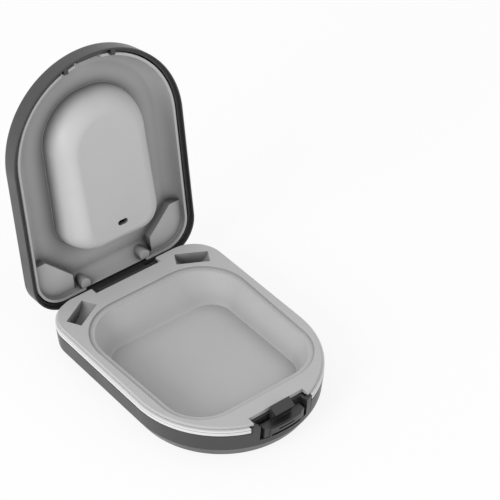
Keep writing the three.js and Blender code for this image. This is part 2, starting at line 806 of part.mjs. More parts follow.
const hearing_aid_case = new THREE.Group();
const strip = stripRing();
const right_side = block(0, case_width, front_y - overrun, back_y + overrun, 0, closed_height);
hearing_aid_case.add(piece('base_shell', baseShell(), black_plastic));
hearing_aid_case.add(piece('inner_tray', tray(), grey_plastic));
hearing_aid_case.add(piece('trim_strip_right', strip.intersect(right_side), light_plastic));
hearing_aid_case.add(piece('trim_strip_left', strip.subtract(right_side), light_plastic));
hearing_aid_case.add(piece('hinge_pin', hingePin(), steel));
hearing_aid_case.add(piece('latch_pin', latchPin(), steel));
hearing_aid_case.add(piece('latch_button', latchButton(), black_plastic));
hearing_aid_case.add(piece('latch_spring', latchSpring(), steel));

const lid = new THREE.Group();
lid.position.set(0, hinge_y, hinge_height);
lid.rotation.x = -THREE.MathUtils.degToRad(open_angle_deg);
for (const lid_piece of [
  piece('lid_shell', lidShell(), black_plastic),
  piece('lid_liner', lidLiner(), grey_plastic),
]) {
  lid_piece.position.set(0, -hinge_y, -hinge_height);
  lid.add(lid_piece);
}
hearing_aid_case.add(lid);

export default hearing_aid_case;
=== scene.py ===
import json
import math
from collections import namedtuple

import bmesh
import bpy
from mathutils import Matrix, Vector


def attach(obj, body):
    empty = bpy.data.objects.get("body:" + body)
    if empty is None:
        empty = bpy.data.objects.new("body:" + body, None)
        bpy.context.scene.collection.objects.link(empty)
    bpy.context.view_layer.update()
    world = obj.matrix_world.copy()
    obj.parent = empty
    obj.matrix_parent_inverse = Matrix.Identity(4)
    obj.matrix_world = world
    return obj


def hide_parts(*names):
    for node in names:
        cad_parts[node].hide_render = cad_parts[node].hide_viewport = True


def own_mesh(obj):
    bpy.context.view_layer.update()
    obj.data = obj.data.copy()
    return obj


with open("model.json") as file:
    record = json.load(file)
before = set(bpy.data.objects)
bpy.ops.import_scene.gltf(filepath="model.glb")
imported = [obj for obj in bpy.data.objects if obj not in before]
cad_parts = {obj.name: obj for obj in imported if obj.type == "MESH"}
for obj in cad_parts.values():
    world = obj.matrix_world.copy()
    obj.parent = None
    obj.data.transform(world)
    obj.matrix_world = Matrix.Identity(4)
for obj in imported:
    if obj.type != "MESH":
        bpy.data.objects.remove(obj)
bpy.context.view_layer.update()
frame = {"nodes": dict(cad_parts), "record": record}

# Camera, to the left of the latch and looking down on the open case; metres and radians
CAMERA_PLACE = (-0.2955, -0.3953, 0.4585)
CAMERA_AZIMUTH = math.radians(-38.659)
CAMERA_ELEVATION = math.radians(39.41)
CAMERA_ROLL = math.radians(0.117)
LENS_MM = 143.07
SENSOR_MM = 36
CAMERA_NEAR = 0.01
CAMERA_FAR = 10

# Light and table, in metres and watts
ROOM_LIGHT = 0.74
WHITE = (1, 1, 1, 1)
TABLE_SIZE = 6
TABLE_COLOUR = 0.9
TABLE_ROUGHNESS = 0.9
TABLE_GLOSS = 0.1
TABLE_WHITENESS = 0.85
LIT_POINT = (0, 0, 0.03)
KEY_PLACE = (-1.2, -0.15, 0.65)
KEY_SIZE = 0.7
KEY_POWER = 8

# Finishes; scales are per metre, depths in metres
SMUDGE_SCALE = 90
SMUDGE_DETAIL = 4
SMUDGE_START = 0.35
SMUDGE_END = 0.7
TINT_SPREAD = 0.04
# Samples of the painted shade in the plastics' corners
PAINTED_SHADE_SAMPLES = 16
GRAIN_SCALE = 4200
GRAIN_DETAIL = 2
GRAIN_DEPTH = 0.00004
SCRATCH_STRETCH = 24
SCRATCH_SCALE = 260
SCRATCH_DETAIL = 3
SCRATCH_STRENGTH = 0.3
SCRATCH_DEPTH = 0.00001
POLISHED_SHARE = 0.75
WORN_SHARE = 1.35

# Edges, in millimetres and radians
EDGE_ROUNDING = 0.15
EDGE_SEGMENTS = 2
EDGE_ANGLE = math.radians(36)
SMOOTH_ANGLE = math.radians(34)
NORMAL_WEIGHT = 80
MERGED_WITHIN = 0.004

# The sizes from here on are in millimetres
MM = 0.001
CASE_LENGTH = 90
CASE_WIDTH = 68.2
CLOSED_HEIGHT = 26.4
BACK_CORNER_RADIUS = 12.5
OPEN_ANGLE = math.radians(97.1)
SEAT_GAP = 0.3
LEAST_RADIUS = 0.3
OVERRUN = 2
SHORT_OVERRUN = 1
FLAT_RUN = 2
LIMIT_INSET = 0.02
FRONT_STEPS = 44
BACK_STEPS = 20

# Base shell
BASE_WALL_TOP = 11.05
BASE_CREASE_HEIGHT = 4.6
BASE_CREASE_INSET = 0.6
BASE_FOOT_INSET = 3.3
BASE_FOOT_ROUNDING = 0.5
BASE_CREASE_ROUNDING = 1.2
BASE_EDGE_ROUNDING = 0.18
FRAME_BOTTOM = 1
SHELL_WALL = 1.6
SHELL_FLOOR = 1.4

# Trim strip
STRIP_HEIGHT = 1.93
STRIP_DEPTH = 1.6
STRIP_FRONT_GAP_HALF = 12.6
STRIP_BACK_GAP_HALF = 15.6
STRIP_END_GAP = 0.3
STRIP_LOWER_BEAD = 1.24
STRIP_BEAD_GAP = 0.09
STRIP_CORE_INSET = 0.22
STRIP_BEAD_ROUNDING = 0.13
STRIP_BEAD_STEPS = 3
STRIP_END_ROUNDING = 0.06

# Inner tray
DECK_HEIGHT = 14.6
DECK_THICKNESS = 1.5
DECK_FALL = 0.1
DECK_FALL_RUN = 20
LIP_INSET = 0.85
LIP_LOWER_ROUNDING = 0.12
LIP_UPPER_ROUNDING = 0.32
SKIRT_DEPTH = 2.9
SKIRT_WALL = 1.4
TRAY_WALL = 1.5
TRAY_OVERLAP = 0.5
WELL_OVERLAP = 0.4
WELL_SIDE_MARGIN_BACK = 3
WELL_SIDE_MARGIN_FRONT = 4.8
WELL_BACK_MARGIN = 11
WELL_FRONT_MARGIN = 11.5
WELL_BACK_RADIUS = 18
WELL_FRONT_CORNER_MARGIN = 18.1
LEDGE_WIDTH = 2.1
LEDGE_DEPTH = 0.75
LEDGE_FALL = 0.08
LEDGE_BRIM = 0.2
LEDGE_CORNER_ROUNDING = 0.1
MOUTH_ROUNDING = 0.3
MOUTH_STEPS = 5
FLOOR_SIDE_MARGIN = 9.6
FLOOR_BACK_MARGIN = 21
FLOOR_FRONT_MARGIN = 19
FLOOR_CORNER_RADIUS = 8.5
FLOOR_FILLET_HEIGHT = 3.4
FLOOR_FILLET_STEPS = 14
WALL_FOOT_SHARE = 0.6
CRADLE_RADIUS = 5.92
CRADLE_WIDTH = 5.6
CRADLE_WALL = 1
CRADLE_SIDE_MARGIN = 10.6
CRADLE_BACK_MARGIN = 9.1
CRADLE_TURN = math.radians(-29)

# Hinge
HINGE_HEIGHT = 10.36
HINGE_BACK_MARGIN = 1.2
HINGE_PIN_RADIUS = 0.8
PIN_CLEARANCE = 0.3
BARREL_RADIUS = 2
BARREL_HALF = 11.2
KNUCKLE_GAP = 0.3
KNUCKLE_WIDTH = 2.8
HINGE_SLOT_HALF = 13.7
HINGE_SLOT_CLEARANCE = 0.6
KNUCKLE_WEB_THICKNESS = 2
KNUCKLE_WEB_BOTTOM = 0.5
PIN_ROUNDING = 0.2

# Latch
POCKET_HALF = 9.6
POCKET_BOTTOM = 6.9
BUTTON_HALF = 8.2
BUTTON_TOP = 11.3
BUTTON_DEPTH = 2.5
PAD_HALF = 6.4
PAD_PROUD = 0.5
PAD_TOP_MARGIN = 0.25
GRIP_DEPTH = 1.1
UPPER_GRIP_HALF = 3.2
UPPER_GRIP_HEIGHT = 9.4
UPPER_GRIP_WIDTH = 0.6
LOWER_GRIP_HALF = 6
LOWER_GRIP_HEIGHT = 7.5
LOWER_GRIP_WIDTH = 0.9
LATCH_PIVOT_HEIGHT = 4.3
LATCH_PIVOT_MARGIN = 4.6
LATCH_PIN_RADIUS = 0.6
LATCH_BOSS_RADIUS = 1.5
CHEEK_THICKNESS = 1.3
HOUSING_TOP = 12.8
BULKHEAD_MARGIN = 5.1
BULKHEAD_THICKNESS = 1.2
LATCH_DECK_MARGIN = 5.7
LATCH_DECK_HALF = 11.2
LIP_END_HALF = 12.4
LIP_END_MARGIN = 2.5
ARM_HALF = 4
ARM_THICKNESS = 1.4
HOOK_BACK_MARGIN = 3.9
HOOK_TOP = 17
HOOK_NOSE_MARGIN = 0.9
HOOK_NOSE_THICKNESS = 0.5
SPRING_HEIGHT = 8.6
SPRING_RADIUS = 1.6
SPRING_WIRE_RADIUS = 0.25
SPRING_STEPS = 40
WIRE_SIDES = 16
SPRING_TURNS = 4.5
SPRING_SEAT_MARGIN = 9.2
SPRING_SEAT_THICKNESS = 1.2
SPRING_SEAT_HALF = 3
SPRING_POST_RADIUS = 1
SPRING_POST_LENGTH = 1.2

# Lid shell
RIM_LIP = 0.55
RIM_FOOT = 0.5
RIM_WALL = 1.57
RIM_STEP = 1.3
LID_CREASE_HEIGHT = 19.6
LID_CREASE_INSET = 0.27
DOME_INSET = 12.2
DOME_ROUNDNESS = 1.305
DOME_STEPS = 26
LID_WALL = 1.6
DOME_INNER_DROP = 0.4
CATCH_HALF = 5
CATCH_HEIGHT = 1
CATCH_RECESS_DEPTH = 1
TAB_INNER = 8.5
TAB_OUTER = 10.2
TAB_END_MARGIN = 3.9
TAB_ROOM_MARGIN = 4.9
TAB_HEIGHT = 2
CRESCENT_DEPTH = 0.4
CRESCENT_SIDE_MARGIN = 13.1
CRESCENT_TIP_MARGIN = 26.6
CRESCENT_INNER_MARGIN = 29.7
CRESCENT_OUTER_MARGIN = 23
CRESCENT_STEPS = 48
CRESCENT_INNER_FULLNESS = 2.1
CRESCENT_OUTER_FULLNESS = 2.5

# Lid liner
LINER_WALL = 1.5
LINER_RIM_INSET = 3.15
LINER_CEILING = 20.4
LINER_FILLET_RUN = 4.5
LINER_FILLET_STEPS = 12
HUMP_SIDE_MARGIN = 15.4
HUMP_FRONT_MARGIN = 14.7
HUMP_BACK_MARGIN = 19
HUMP_FRONT_RADIUS = 17.5
HUMP_BACK_RADIUS = 8.5
HUMP_FACE_HEIGHT = 7.8
HUMP_FOOT_FILLET = 0.25
HUMP_LEAN = 0.2
HUMP_SIDE_RUN = 6.6
HUMP_FRONT_RUN = 7.4
HUMP_BACK_RUN = 5.5
HUMP_STEPS = 16
HUMP_FACE_FRONT_RADIUS = 11.5
HUMP_FACE_BACK_RADIUS = 6
SLIT_LENGTH = 3.9
SLIT_WIDTH = 1.8
SLIT_BACK_MARGIN = 28.4
EAR_HEIGHT = 16.7
EAR_SIDE_MARGIN = 7.9
EAR_SIDE_BACK_MARGIN = 18.7
EAR_INNER_MARGIN = 17.7
EAR_BACK_MARGIN = 9.2
BOSS_RADIUS = 2
BOSS_X = 12.6
BOSS_BOTTOM = 15.2
BOSS_MARGIN = 4.4
LINER_SLOT_HALF = 12.9

# Places that follow from the sizes
FRONT_Y = -CASE_LENGTH / 2
BACK_Y = CASE_LENGTH / 2
SIDE_X = CASE_WIDTH / 2
STRIP_BOTTOM = BASE_WALL_TOP + SEAT_GAP
STRIP_TOP = STRIP_BOTTOM + STRIP_HEIGHT
LIP_BOTTOM = STRIP_TOP + SEAT_GAP
SKIRT_INSET = STRIP_DEPTH + SEAT_GAP + STRIP_END_GAP / 2
TRAY_FLOOR_BOTTOM = SHELL_FLOOR + SEAT_GAP
TRAY_FLOOR = TRAY_FLOOR_BOTTOM + TRAY_WALL
HINGE_Y = BACK_Y - HINGE_BACK_MARGIN
LID_BOTTOM = STRIP_TOP + SEAT_GAP
RIM_STEP_HEIGHT = LID_BOTTOM + RIM_STEP
LATCH_PIVOT_Y = FRONT_Y + LATCH_PIVOT_MARGIN
HOOK_BACK_Y = FRONT_Y + HOOK_BACK_MARGIN
BUTTON_BACK_Y = FRONT_Y + BUTTON_DEPTH
SPRING_BACK_Y = FRONT_Y + SPRING_SEAT_MARGIN - SEAT_GAP
SPRING_FRONT_Y = HOOK_BACK_Y + SEAT_GAP

# A rounded four-sided plan, as wide as twice its halves at the front and at the back
Plan = namedtuple("Plan", "front back front_half back_half front_radius back_radius")


def inward(plan, inset):
    """A plan moved inwards on every side."""
    return Plan(
        plan.front + inset, plan.back - inset, plan.front_half - inset, plan.back_half - inset,
        plan.front_radius - inset, plan.back_radius - inset)


def between(first, last, share):
    """A plan part of the way from one plan to another."""
    return Plan(*(a + (b - a) * share for a, b in zip(first, last)))


CASE_PLAN = Plan(FRONT_Y, BACK_Y, SIDE_X, SIDE_X, SIDE_X, BACK_CORNER_RADIUS)
WELL_PLAN = Plan(
    FRONT_Y + WELL_FRONT_MARGIN, BACK_Y - WELL_BACK_MARGIN,
    SIDE_X - WELL_SIDE_MARGIN_FRONT, SIDE_X - WELL_SIDE_MARGIN_BACK,
    SIDE_X - WELL_FRONT_CORNER_MARGIN, WELL_BACK_RADIUS)
MOUTH_PLAN = inward(WELL_PLAN, LEDGE_WIDTH)
FLOOR_PLAN = Plan(
    FRONT_Y + FLOOR_FRONT_MARGIN, BACK_Y - FLOOR_BACK_MARGIN,
    SIDE_X - FLOOR_SIDE_MARGIN, SIDE_X - FLOOR_SIDE_MARGIN,
    FLOOR_CORNER_RADIUS, FLOOR_CORNER_RADIUS)
HUMP_PLAN = Plan(
    FRONT_Y + HUMP_FRONT_MARGIN, BACK_Y - HUMP_BACK_MARGIN,
    SIDE_X - HUMP_SIDE_MARGIN, SIDE_X - HUMP_SIDE_MARGIN,
    HUMP_FRONT_RADIUS, HUMP_BACK_RADIUS)
HUMP_FACE_PLAN = Plan(
    HUMP_PLAN.front + HUMP_FRONT_RUN, HUMP_PLAN.back - HUMP_BACK_RUN,
    HUMP_PLAN.front_half - HUMP_SIDE_RUN, HUMP_PLAN.back_half - HUMP_SIDE_RUN,
    HUMP_FACE_FRONT_RADIUS, HUMP_FACE_BACK_RADIUS)


def outline(plan, inset):
    """Points of a plan, anticlockwise, moved inwards by inset."""
    lean = math.atan2(plan.back_half - plan.front_half, plan.back - plan.front)

    def side_at(y):
        """Half the width at y."""
        return plan.front_half + (y - plan.front) * math.tan(lean) - inset / math.cos(lean)

    def corner(edge_y, towards, wanted):
        """The centre of a corner's arc, and its radius, which the width may limit."""
        radius = min(max(wanted - inset, LEAST_RADIUS), side_at(edge_y))
        y = edge_y + towards * radius
        return max(0, side_at(y) - radius / math.cos(lean)), y, radius

    right = []
    for (x, y, radius), start, end, steps in (
        (corner(plan.front + inset, 1, plan.front_radius), -math.pi / 2, -lean, FRONT_STEPS),
        (corner(plan.back - inset, -1, plan.back_radius), -lean, math.pi / 2, BACK_STEPS),
    ):
        for i in range(steps + 1):
            angle = start + (end - start) * i / steps
            right.append((x + radius * math.cos(angle), y + radius * math.sin(angle)))
    left = [(-x, y) for x, y in reversed(right)]
    if plan.front_radius >= plan.front_half:
        left.pop()
    return right + left


def rounded(corners, steps=5):
    """A section's corners as (inset, height, radius), with each radius turned into an arc."""
    points = []
    for i, (x, z, radius) in enumerate(corners):
        here = Vector((x, z))
        if radius == 0 or i in (0, len(corners) - 1):
            points.append(here)
            continue
        before = Vector(corners[i - 1][:2]) - here
        after = Vector(corners[i + 1][:2]) - here
        half = before.angle(after) / 2
        run = radius / math.tan(half)
        start = here + before.normalized() * run
        end = here + after.normalized() * run
        middle = (before.normalized() + after.normalized()).normalized()
        centre = here + middle * radius / math.sin(half)
        sweep = (start - centre).angle_signed(end - centre)
        for k in range(steps + 1):
            arm = Matrix.Rotation(-sweep * k / steps, 2) @ (start - centre)
            points.append(centre + arm)
    return [(p.x, p.y) for p in points]


def mesh_object(name, vertices, faces):
    """A new object in the scene, made of corners and faces."""
    mesh = bpy.data.meshes.new(name)
    mesh.from_pydata(vertices, [], faces)
    mesh.validate()
    made = bpy.data.objects.new(name, mesh)
    bpy.context.scene.collection.objects.link(made)
    return made


def loft(sections):
    """Closed body through a stack of outlines, each a plan, an inset and a height."""
    rings = [[(x, y, z) for x, y in outline(plan, inset)] for plan, inset, z in sections]
    count = len(rings[0])
    vertices = [point for ring in rings for point in ring]
    faces = [tuple(reversed(range(count)))]
    for low in range(0, count * (len(rings) - 1), count):
        for i in range(count):
            j = (i + 1) % count
            faces.append((low + i, low + j, low + count + j, low + count + i))
    faces.append(tuple(range(count * (len(rings) - 1), count * len(rings))))
    return mesh_object("loft", vertices, faces)


def section_loft(plan, corners):
    """A loft along a section given by its corners, each an inset, a height and a radius."""
    return loft([(plan, inset, z) for inset, z in rounded(corners)])


def case_loft(*levels):
    """A loft with the case's own outline, moved inwards by an inset at each height."""
    return loft([(CASE_PLAN, inset, z) for inset, z in levels])


def block(x0, x1, y0, y1, z0, z1):
    """A plain block, given by its two ends along each axis."""
    corners = [(x, y, z) for z in (z0, z1) for y in (y0, y1) for x in (x0, x1)]
    faces = [(0, 2, 3, 1), (4, 5, 7, 6), (0, 1, 5, 4), (1, 3, 7, 5), (3, 2, 6, 7), (2, 0, 4, 6)]
    return mesh_object("block", corners, faces)


def wide_block(half, y0, y1, z0, z1):
    """A block across the middle of the case."""
    return block(-half, half, y0, y1, z0, z1)


def block_pair(x0, x1, y0, y1, z0, z1):
    """A block and its mirror image across the middle of the case."""
    return joined(block(x0, x1, y0, y1, z0, z1), block(-x1, -x0, y0, y1, z0, z1))


def prism(points, low, high, axis="Z"):
    """A flat outline drawn out along an axis; points run anticlockwise seen from its end."""
    order = {
        "X": lambda a, b, h: (h, a, b),
        "Y": lambda a, b, h: (b, h, a),
        "Z": lambda a, b, h: (a, b, h),
    }
    vertices = [order[axis](a, b, h) for h in (low, high) for a, b in points]
    count = len(points)
    faces = [tuple(reversed(range(count))), tuple(range(count, count + count))]
    for i in range(count):
        j = (i + 1) % count
        faces.append((i, j, count + j, count + i))
    return mesh_object("prism", vertices, faces)


def quarter_turn(steps):
    """1 - cos and sin at each step of a quarter turn."""
    angles = [math.pi / 2 * i / steps for i in range(steps + 1)]
    return [(1 - math.cos(angle), math.sin(angle)) for angle in angles]


def disc(radius, a, b, steps=32):
    """Points of a circle round (a, b)."""
    angles = [math.tau * i / steps for i in range(steps)]
    return [(a + radius * math.cos(angle), b + radius * math.sin(angle)) for angle in angles]


def slot_outline(y, length, width, steps=8):
    """A slot with round ends that runs along X across the middle of the case."""
    radius = width / 2
    points = []
    for side in (1, -1):
        for i in range(steps + 1):
            angle = math.pi * (i / steps - 0.5)
            points.append((side * (length / 2 - radius + radius * math.cos(angle)),
                           y + side * radius * math.sin(angle)))
    return points


def bar_x(x0, x1, y, z, radius):
    """A round bar along X."""
    return prism(disc(radius, y, z), x0, x1, "X")


def wide_bar(half, y, z, radius):
    """A round bar across the middle of the case."""
    return bar_x(-half, half, y, z, radius)


def bar_y(y0, y1, x, z, radius):
    """A round bar along Y."""
    return prism(disc(radius, z, x), y0, y1, "Y")


def as_made(solid):
    """The same object, with what its modifiers make as its own plain mesh."""
    graph = bpy.context.evaluated_depsgraph_get()
    mesh = bpy.data.meshes.new_from_object(solid.evaluated_get(graph))
    solid.modifiers.clear()
    solid.data = mesh
    return solid


def combined(operation, solid, others):
    """The result of a boolean, with the first solid kept as its object and the others used up."""
    for other in others:
        modifier = solid.modifiers.new(operation, "BOOLEAN")
        modifier.operation = operation
        modifier.solver = "MANIFOLD"
        modifier.object = other
    as_made(solid)
    for other in others:
        bpy.data.objects.remove(other)
    return solid


def joined(solid, *others):
    """A solid with others added to it."""
    return combined("UNION", solid, others)


def cut(solid, *others):
    """A solid with others cut from it."""
    return combined("DIFFERENCE", solid, others)


def kept_in(solid, *others):
    """The part of a solid that lies in the others too."""
    return combined("INTERSECT", solid, others)


def softened(solid, width=EDGE_ROUNDING):
    """The same solid with its sharp edges rounded."""
    work = bmesh.new()
    work.from_mesh(solid.data)
    bmesh.ops.remove_doubles(work, verts=work.verts, dist=MERGED_WITHIN)
    work.to_mesh(solid.data)
    work.free()
    bevel = solid.modifiers.new("edges", "BEVEL")
    bevel.width = width
    bevel.segments = EDGE_SEGMENTS
    bevel.limit_method = "ANGLE"
    bevel.angle_limit = EDGE_ANGLE
    bevel.use_clamp_overlap = False
    return as_made(solid)


def base_loft(inset, *upper_corners):
    """A loft along the base shell's foot and crease, moved inwards by inset, and then as given."""
    return section_loft(CASE_PLAN, [
        (BASE_FOOT_INSET + inset + FLAT_RUN, 0, 0),
        (BASE_FOOT_INSET + inset, 0, BASE_FOOT_ROUNDING),
        (BASE_CREASE_INSET + inset, BASE_CREASE_HEIGHT, BASE_CREASE_ROUNDING),
        *upper_corners,
    ])


def base_body(inset, top):
    """The base shell's outside as a full body, moved inwards by inset and cut level at top."""
    return base_loft(inset, (inset, BASE_WALL_TOP, 0), (inset, top, 0))


def base_cavity():
    """The room inside the base shell."""
    share = SHELL_FLOOR / BASE_CREASE_HEIGHT
    floor_inset = BASE_FOOT_INSET + (BASE_CREASE_INSET - BASE_FOOT_INSET) * share
    return case_loft(
        (floor_inset + SHELL_WALL, SHELL_FLOOR),
        (BASE_CREASE_INSET + SHELL_WALL, BASE_CREASE_HEIGHT),
        (SHELL_WALL, BASE_WALL_TOP),
        (SHELL_WALL, STRIP_TOP + OVERRUN))


def latch_housing():
    """Two cheeks, a bulkhead with a window for the spring, and the spring's seat with its post."""
    bulkhead_y = FRONT_Y + BULKHEAD_MARGIN
    bulkhead_back_y = bulkhead_y + BULKHEAD_THICKNESS
    seat_y = FRONT_Y + SPRING_SEAT_MARGIN
    outer_half = POCKET_HALF + CHEEK_THICKNESS
    window_half = SPRING_RADIUS + SPRING_WIRE_RADIUS + SEAT_GAP
    bulkhead_bottom = LATCH_PIVOT_HEIGHT + LATCH_BOSS_RADIUS + SEAT_GAP
    cheeks = block_pair(POCKET_HALF, outer_half, FRONT_Y, bulkhead_back_y, 0, HOUSING_TOP)
    bulkhead = wide_block(outer_half, bulkhead_y, bulkhead_back_y, bulkhead_bottom, HOUSING_TOP)
    window = wide_block(window_half, bulkhead_y - OVERRUN, bulkhead_back_y + OVERRUN,
                        bulkhead_bottom - OVERRUN, SPRING_HEIGHT + window_half)
    seat = wide_block(SPRING_SEAT_HALF, seat_y, seat_y + SPRING_SEAT_THICKNESS,
                      0, SPRING_HEIGHT + window_half)
    post = bar_y(seat_y - SPRING_POST_LENGTH, seat_y + SPRING_SEAT_THICKNESS / 2, 0, SPRING_HEIGHT,
                 SPRING_POST_RADIUS)
    return joined(cut(joined(cheeks, bulkhead), window), seat, post)


def base_shell():
    """The lower half of the case, with the latch's housing and the two fixed hinge knuckles."""
    walls = base_loft(0, (0, BASE_WALL_TOP, BASE_EDGE_ROUNDING),
                      (SHELL_WALL + SHORT_OVERRUN, BASE_WALL_TOP, 0))
    front_frame = STRIP_FRONT_GAP_HALF - STRIP_END_GAP
    back_frame = STRIP_BACK_GAP_HALF - STRIP_END_GAP
    frames = kept_in(
        joined(
            wide_block(front_frame, FRONT_Y - SHORT_OVERRUN, FRONT_Y + LATCH_DECK_MARGIN,
                       FRAME_BOTTOM, STRIP_TOP),
            wide_block(back_frame, HINGE_Y - BARREL_RADIUS, BACK_Y + SHORT_OVERRUN,
                       FRAME_BOTTOM, STRIP_TOP)),
        base_body(0, STRIP_TOP + SHORT_OVERRUN))
    housing = kept_in(latch_housing(), base_body(0, STRIP_TOP + SHORT_OVERRUN))
    pocket = wide_block(POCKET_HALF, FRONT_Y - OVERRUN, FRONT_Y + BULKHEAD_MARGIN,
                        POCKET_BOTTOM, STRIP_TOP + OVERRUN)
    notch_bottom = HINGE_HEIGHT - BARREL_RADIUS - SEAT_GAP
    hinge_notch = wide_block(HINGE_SLOT_HALF, HINGE_Y - BARREL_RADIUS, BACK_Y + OVERRUN,
                             notch_bottom, STRIP_TOP + OVERRUN)
    latch_bore = wide_bar(POCKET_HALF + CHEEK_THICKNESS, LATCH_PIVOT_Y, LATCH_PIVOT_HEIGHT,
                          LATCH_PIN_RADIUS + PIN_CLEARANCE)
    inner = BARREL_HALF + KNUCKLE_GAP
    outer = inner + KNUCKLE_WIDTH
    web_y = HINGE_Y - KNUCKLE_WEB_THICKNESS / 2
    webs = kept_in(
        block_pair(inner, outer, web_y, web_y + KNUCKLE_WEB_THICKNESS, KNUCKLE_WEB_BOTTOM, HINGE_HEIGHT),
        base_body(0, STRIP_TOP))
    bars = joined(bar_x(inner, outer, HINGE_Y, HINGE_HEIGHT, BARREL_RADIUS),
                  bar_x(-outer, -inner, HINGE_Y, HINGE_HEIGHT, BARREL_RADIUS))
    hinge_bore = wide_bar(outer + SHORT_OVERRUN, HINGE_Y, HINGE_HEIGHT, HINGE_PIN_RADIUS + PIN_CLEARANCE)
    shell = cut(joined(walls, frames), base_cavity())
    shell = cut(joined(shell, housing), pocket, hinge_notch, latch_bore)
    return softened(cut(joined(shell, webs, bars), hinge_bore))


def well_body(wall, floor_z, top):
    """The well from floor to mouth: a curved foot, a leaning wall and a rounded mouth."""
    mouth_z = DECK_HEIGHT - LEDGE_DEPTH
    wall_foot = Vector((WALL_FOOT_SHARE, floor_z + FLOOR_FILLET_HEIGHT))
    wall_lean = WALL_FOOT_SHARE / (mouth_z - wall_foot.y)
    bend = Vector((WALL_FOOT_SHARE + wall_lean * FLOOR_FILLET_HEIGHT, floor_z))
    floor_edge = Vector((1, floor_z))
    sections = []
    for i in range(FLOOR_FILLET_STEPS + 1):
        up = i / FLOOR_FILLET_STEPS
        share, z = floor_edge * (1 - up) ** 2 + bend * 2 * up * (1 - up) + wall_foot * up ** 2
        sections.append((between(MOUTH_PLAN, FLOOR_PLAN, share), -wall, z))
    for across, up in quarter_turn(MOUTH_STEPS):
        sections.append((MOUTH_PLAN, -wall - MOUTH_ROUNDING * across,
                         mouth_z - MOUTH_ROUNDING + MOUTH_ROUNDING * up))
    sections.append((MOUTH_PLAN, -wall - MOUTH_ROUNDING, top))
    return loft(sections)


def cradle_body(side, wall):
    """A turned half-round bar: the room for one spare cell, or the wall under it."""
    radius = CRADLE_RADIUS + wall
    half = CRADLE_WIDTH / 2 + wall
    x = side * (SIDE_X - CRADLE_SIDE_MARGIN)
    y = BACK_Y - CRADLE_BACK_MARGIN
    round_bar = bar_y(-half, half, 0, 0, radius)
    if wall == 0:
        round_bar = joined(round_bar, wide_block(radius, -half, half, 0, OVERRUN))
    turn = Matrix.Rotation(side * CRADLE_TURN, 4, "Z")
    round_bar.data.transform(Matrix.Translation((x, y, DECK_HEIGHT)) @ turn)
    if wall > 0:
        keep = wide_block(CASE_WIDTH, 0, BACK_Y + OVERRUN, 0, DECK_HEIGHT)
        round_bar = kept_in(round_bar, keep)
    return round_bar


def tray():
    """The grey tray: a deck with a lip and a skirt, the well, its ledge and the two cradles."""
    lip = section_loft(CASE_PLAN, [
        (LIP_INSET + FLAT_RUN, LIP_BOTTOM, 0),
        (LIP_INSET, LIP_BOTTOM, LIP_LOWER_ROUNDING),
        (LIP_INSET, DECK_HEIGHT, LIP_UPPER_ROUNDING),
        (LIP_INSET + FLAT_RUN, DECK_HEIGHT, 0),
    ])
    deck_underside = DECK_HEIGHT - DECK_THICKNESS - DECK_FALL
    skirt_bottom = DECK_HEIGHT - DECK_THICKNESS - SKIRT_DEPTH
    skirt = case_loft((SKIRT_INSET, skirt_bottom), (SKIRT_INSET, LIP_BOTTOM + TRAY_OVERLAP))
    skirt_hollow = case_loft(
        (SKIRT_INSET + SKIRT_WALL, skirt_bottom - OVERRUN),
        (SKIRT_INSET + SKIRT_WALL, deck_underside),
        (SKIRT_INSET + SKIRT_WALL + DECK_FALL_RUN, DECK_HEIGHT - DECK_THICKNESS))
    inside_skirt = case_loft((SKIRT_INSET, TRAY_FLOOR_BOTTOM), (SKIRT_INSET, DECK_HEIGHT - TRAY_OVERLAP))
    ledge = section_loft(WELL_PLAN, [
        (LEDGE_WIDTH + TRAY_OVERLAP, DECK_HEIGHT - LEDGE_DEPTH - LEDGE_FALL, 0),
        (0, DECK_HEIGHT - LEDGE_DEPTH, LEDGE_CORNER_ROUNDING),
        (0, DECK_HEIGHT, LEDGE_BRIM),
        (-LEDGE_BRIM, DECK_HEIGHT, 0),
        (-LEDGE_BRIM, DECK_HEIGHT + OVERRUN, 0),
    ])
    tubs = kept_in(joined(cradle_body(1, CRADLE_WALL), cradle_body(-1, CRADLE_WALL)), inside_skirt)
    well_tub = well_body(TRAY_WALL, TRAY_FLOOR_BOTTOM, DECK_HEIGHT - WELL_OVERLAP)
    above = DECK_HEIGHT + OVERRUN
    slot_front = HINGE_Y - BARREL_RADIUS - HINGE_SLOT_CLEARANCE
    slot_below_half = BARREL_HALF + KNUCKLE_GAP + KNUCKLE_WIDTH + SEAT_GAP
    housing_back = FRONT_Y + BULKHEAD_MARGIN + BULKHEAD_THICKNESS + SEAT_GAP
    notches = [
        wide_block(half, front, back, 0, top) for half, front, back, top in (
            (HINGE_SLOT_HALF, slot_front, BACK_Y + OVERRUN, above),
            (slot_below_half, slot_front, BACK_Y + OVERRUN, deck_underside),
            (LATCH_DECK_HALF, FRONT_Y - OVERRUN, FRONT_Y + LATCH_DECK_MARGIN, above),
            (LIP_END_HALF, FRONT_Y - OVERRUN, FRONT_Y + LIP_END_MARGIN, above),
            (STRIP_FRONT_GAP_HALF, FRONT_Y - OVERRUN, housing_back, deck_underside),
        )
    ]
    solid = joined(cut(joined(lip, skirt), skirt_hollow), tubs, well_tub)
    cradles = [cradle_body(side, 0) for side in (1, -1)]
    return softened(cut(solid, well_body(0, TRAY_FLOOR, above), ledge, *cradles, *notches))


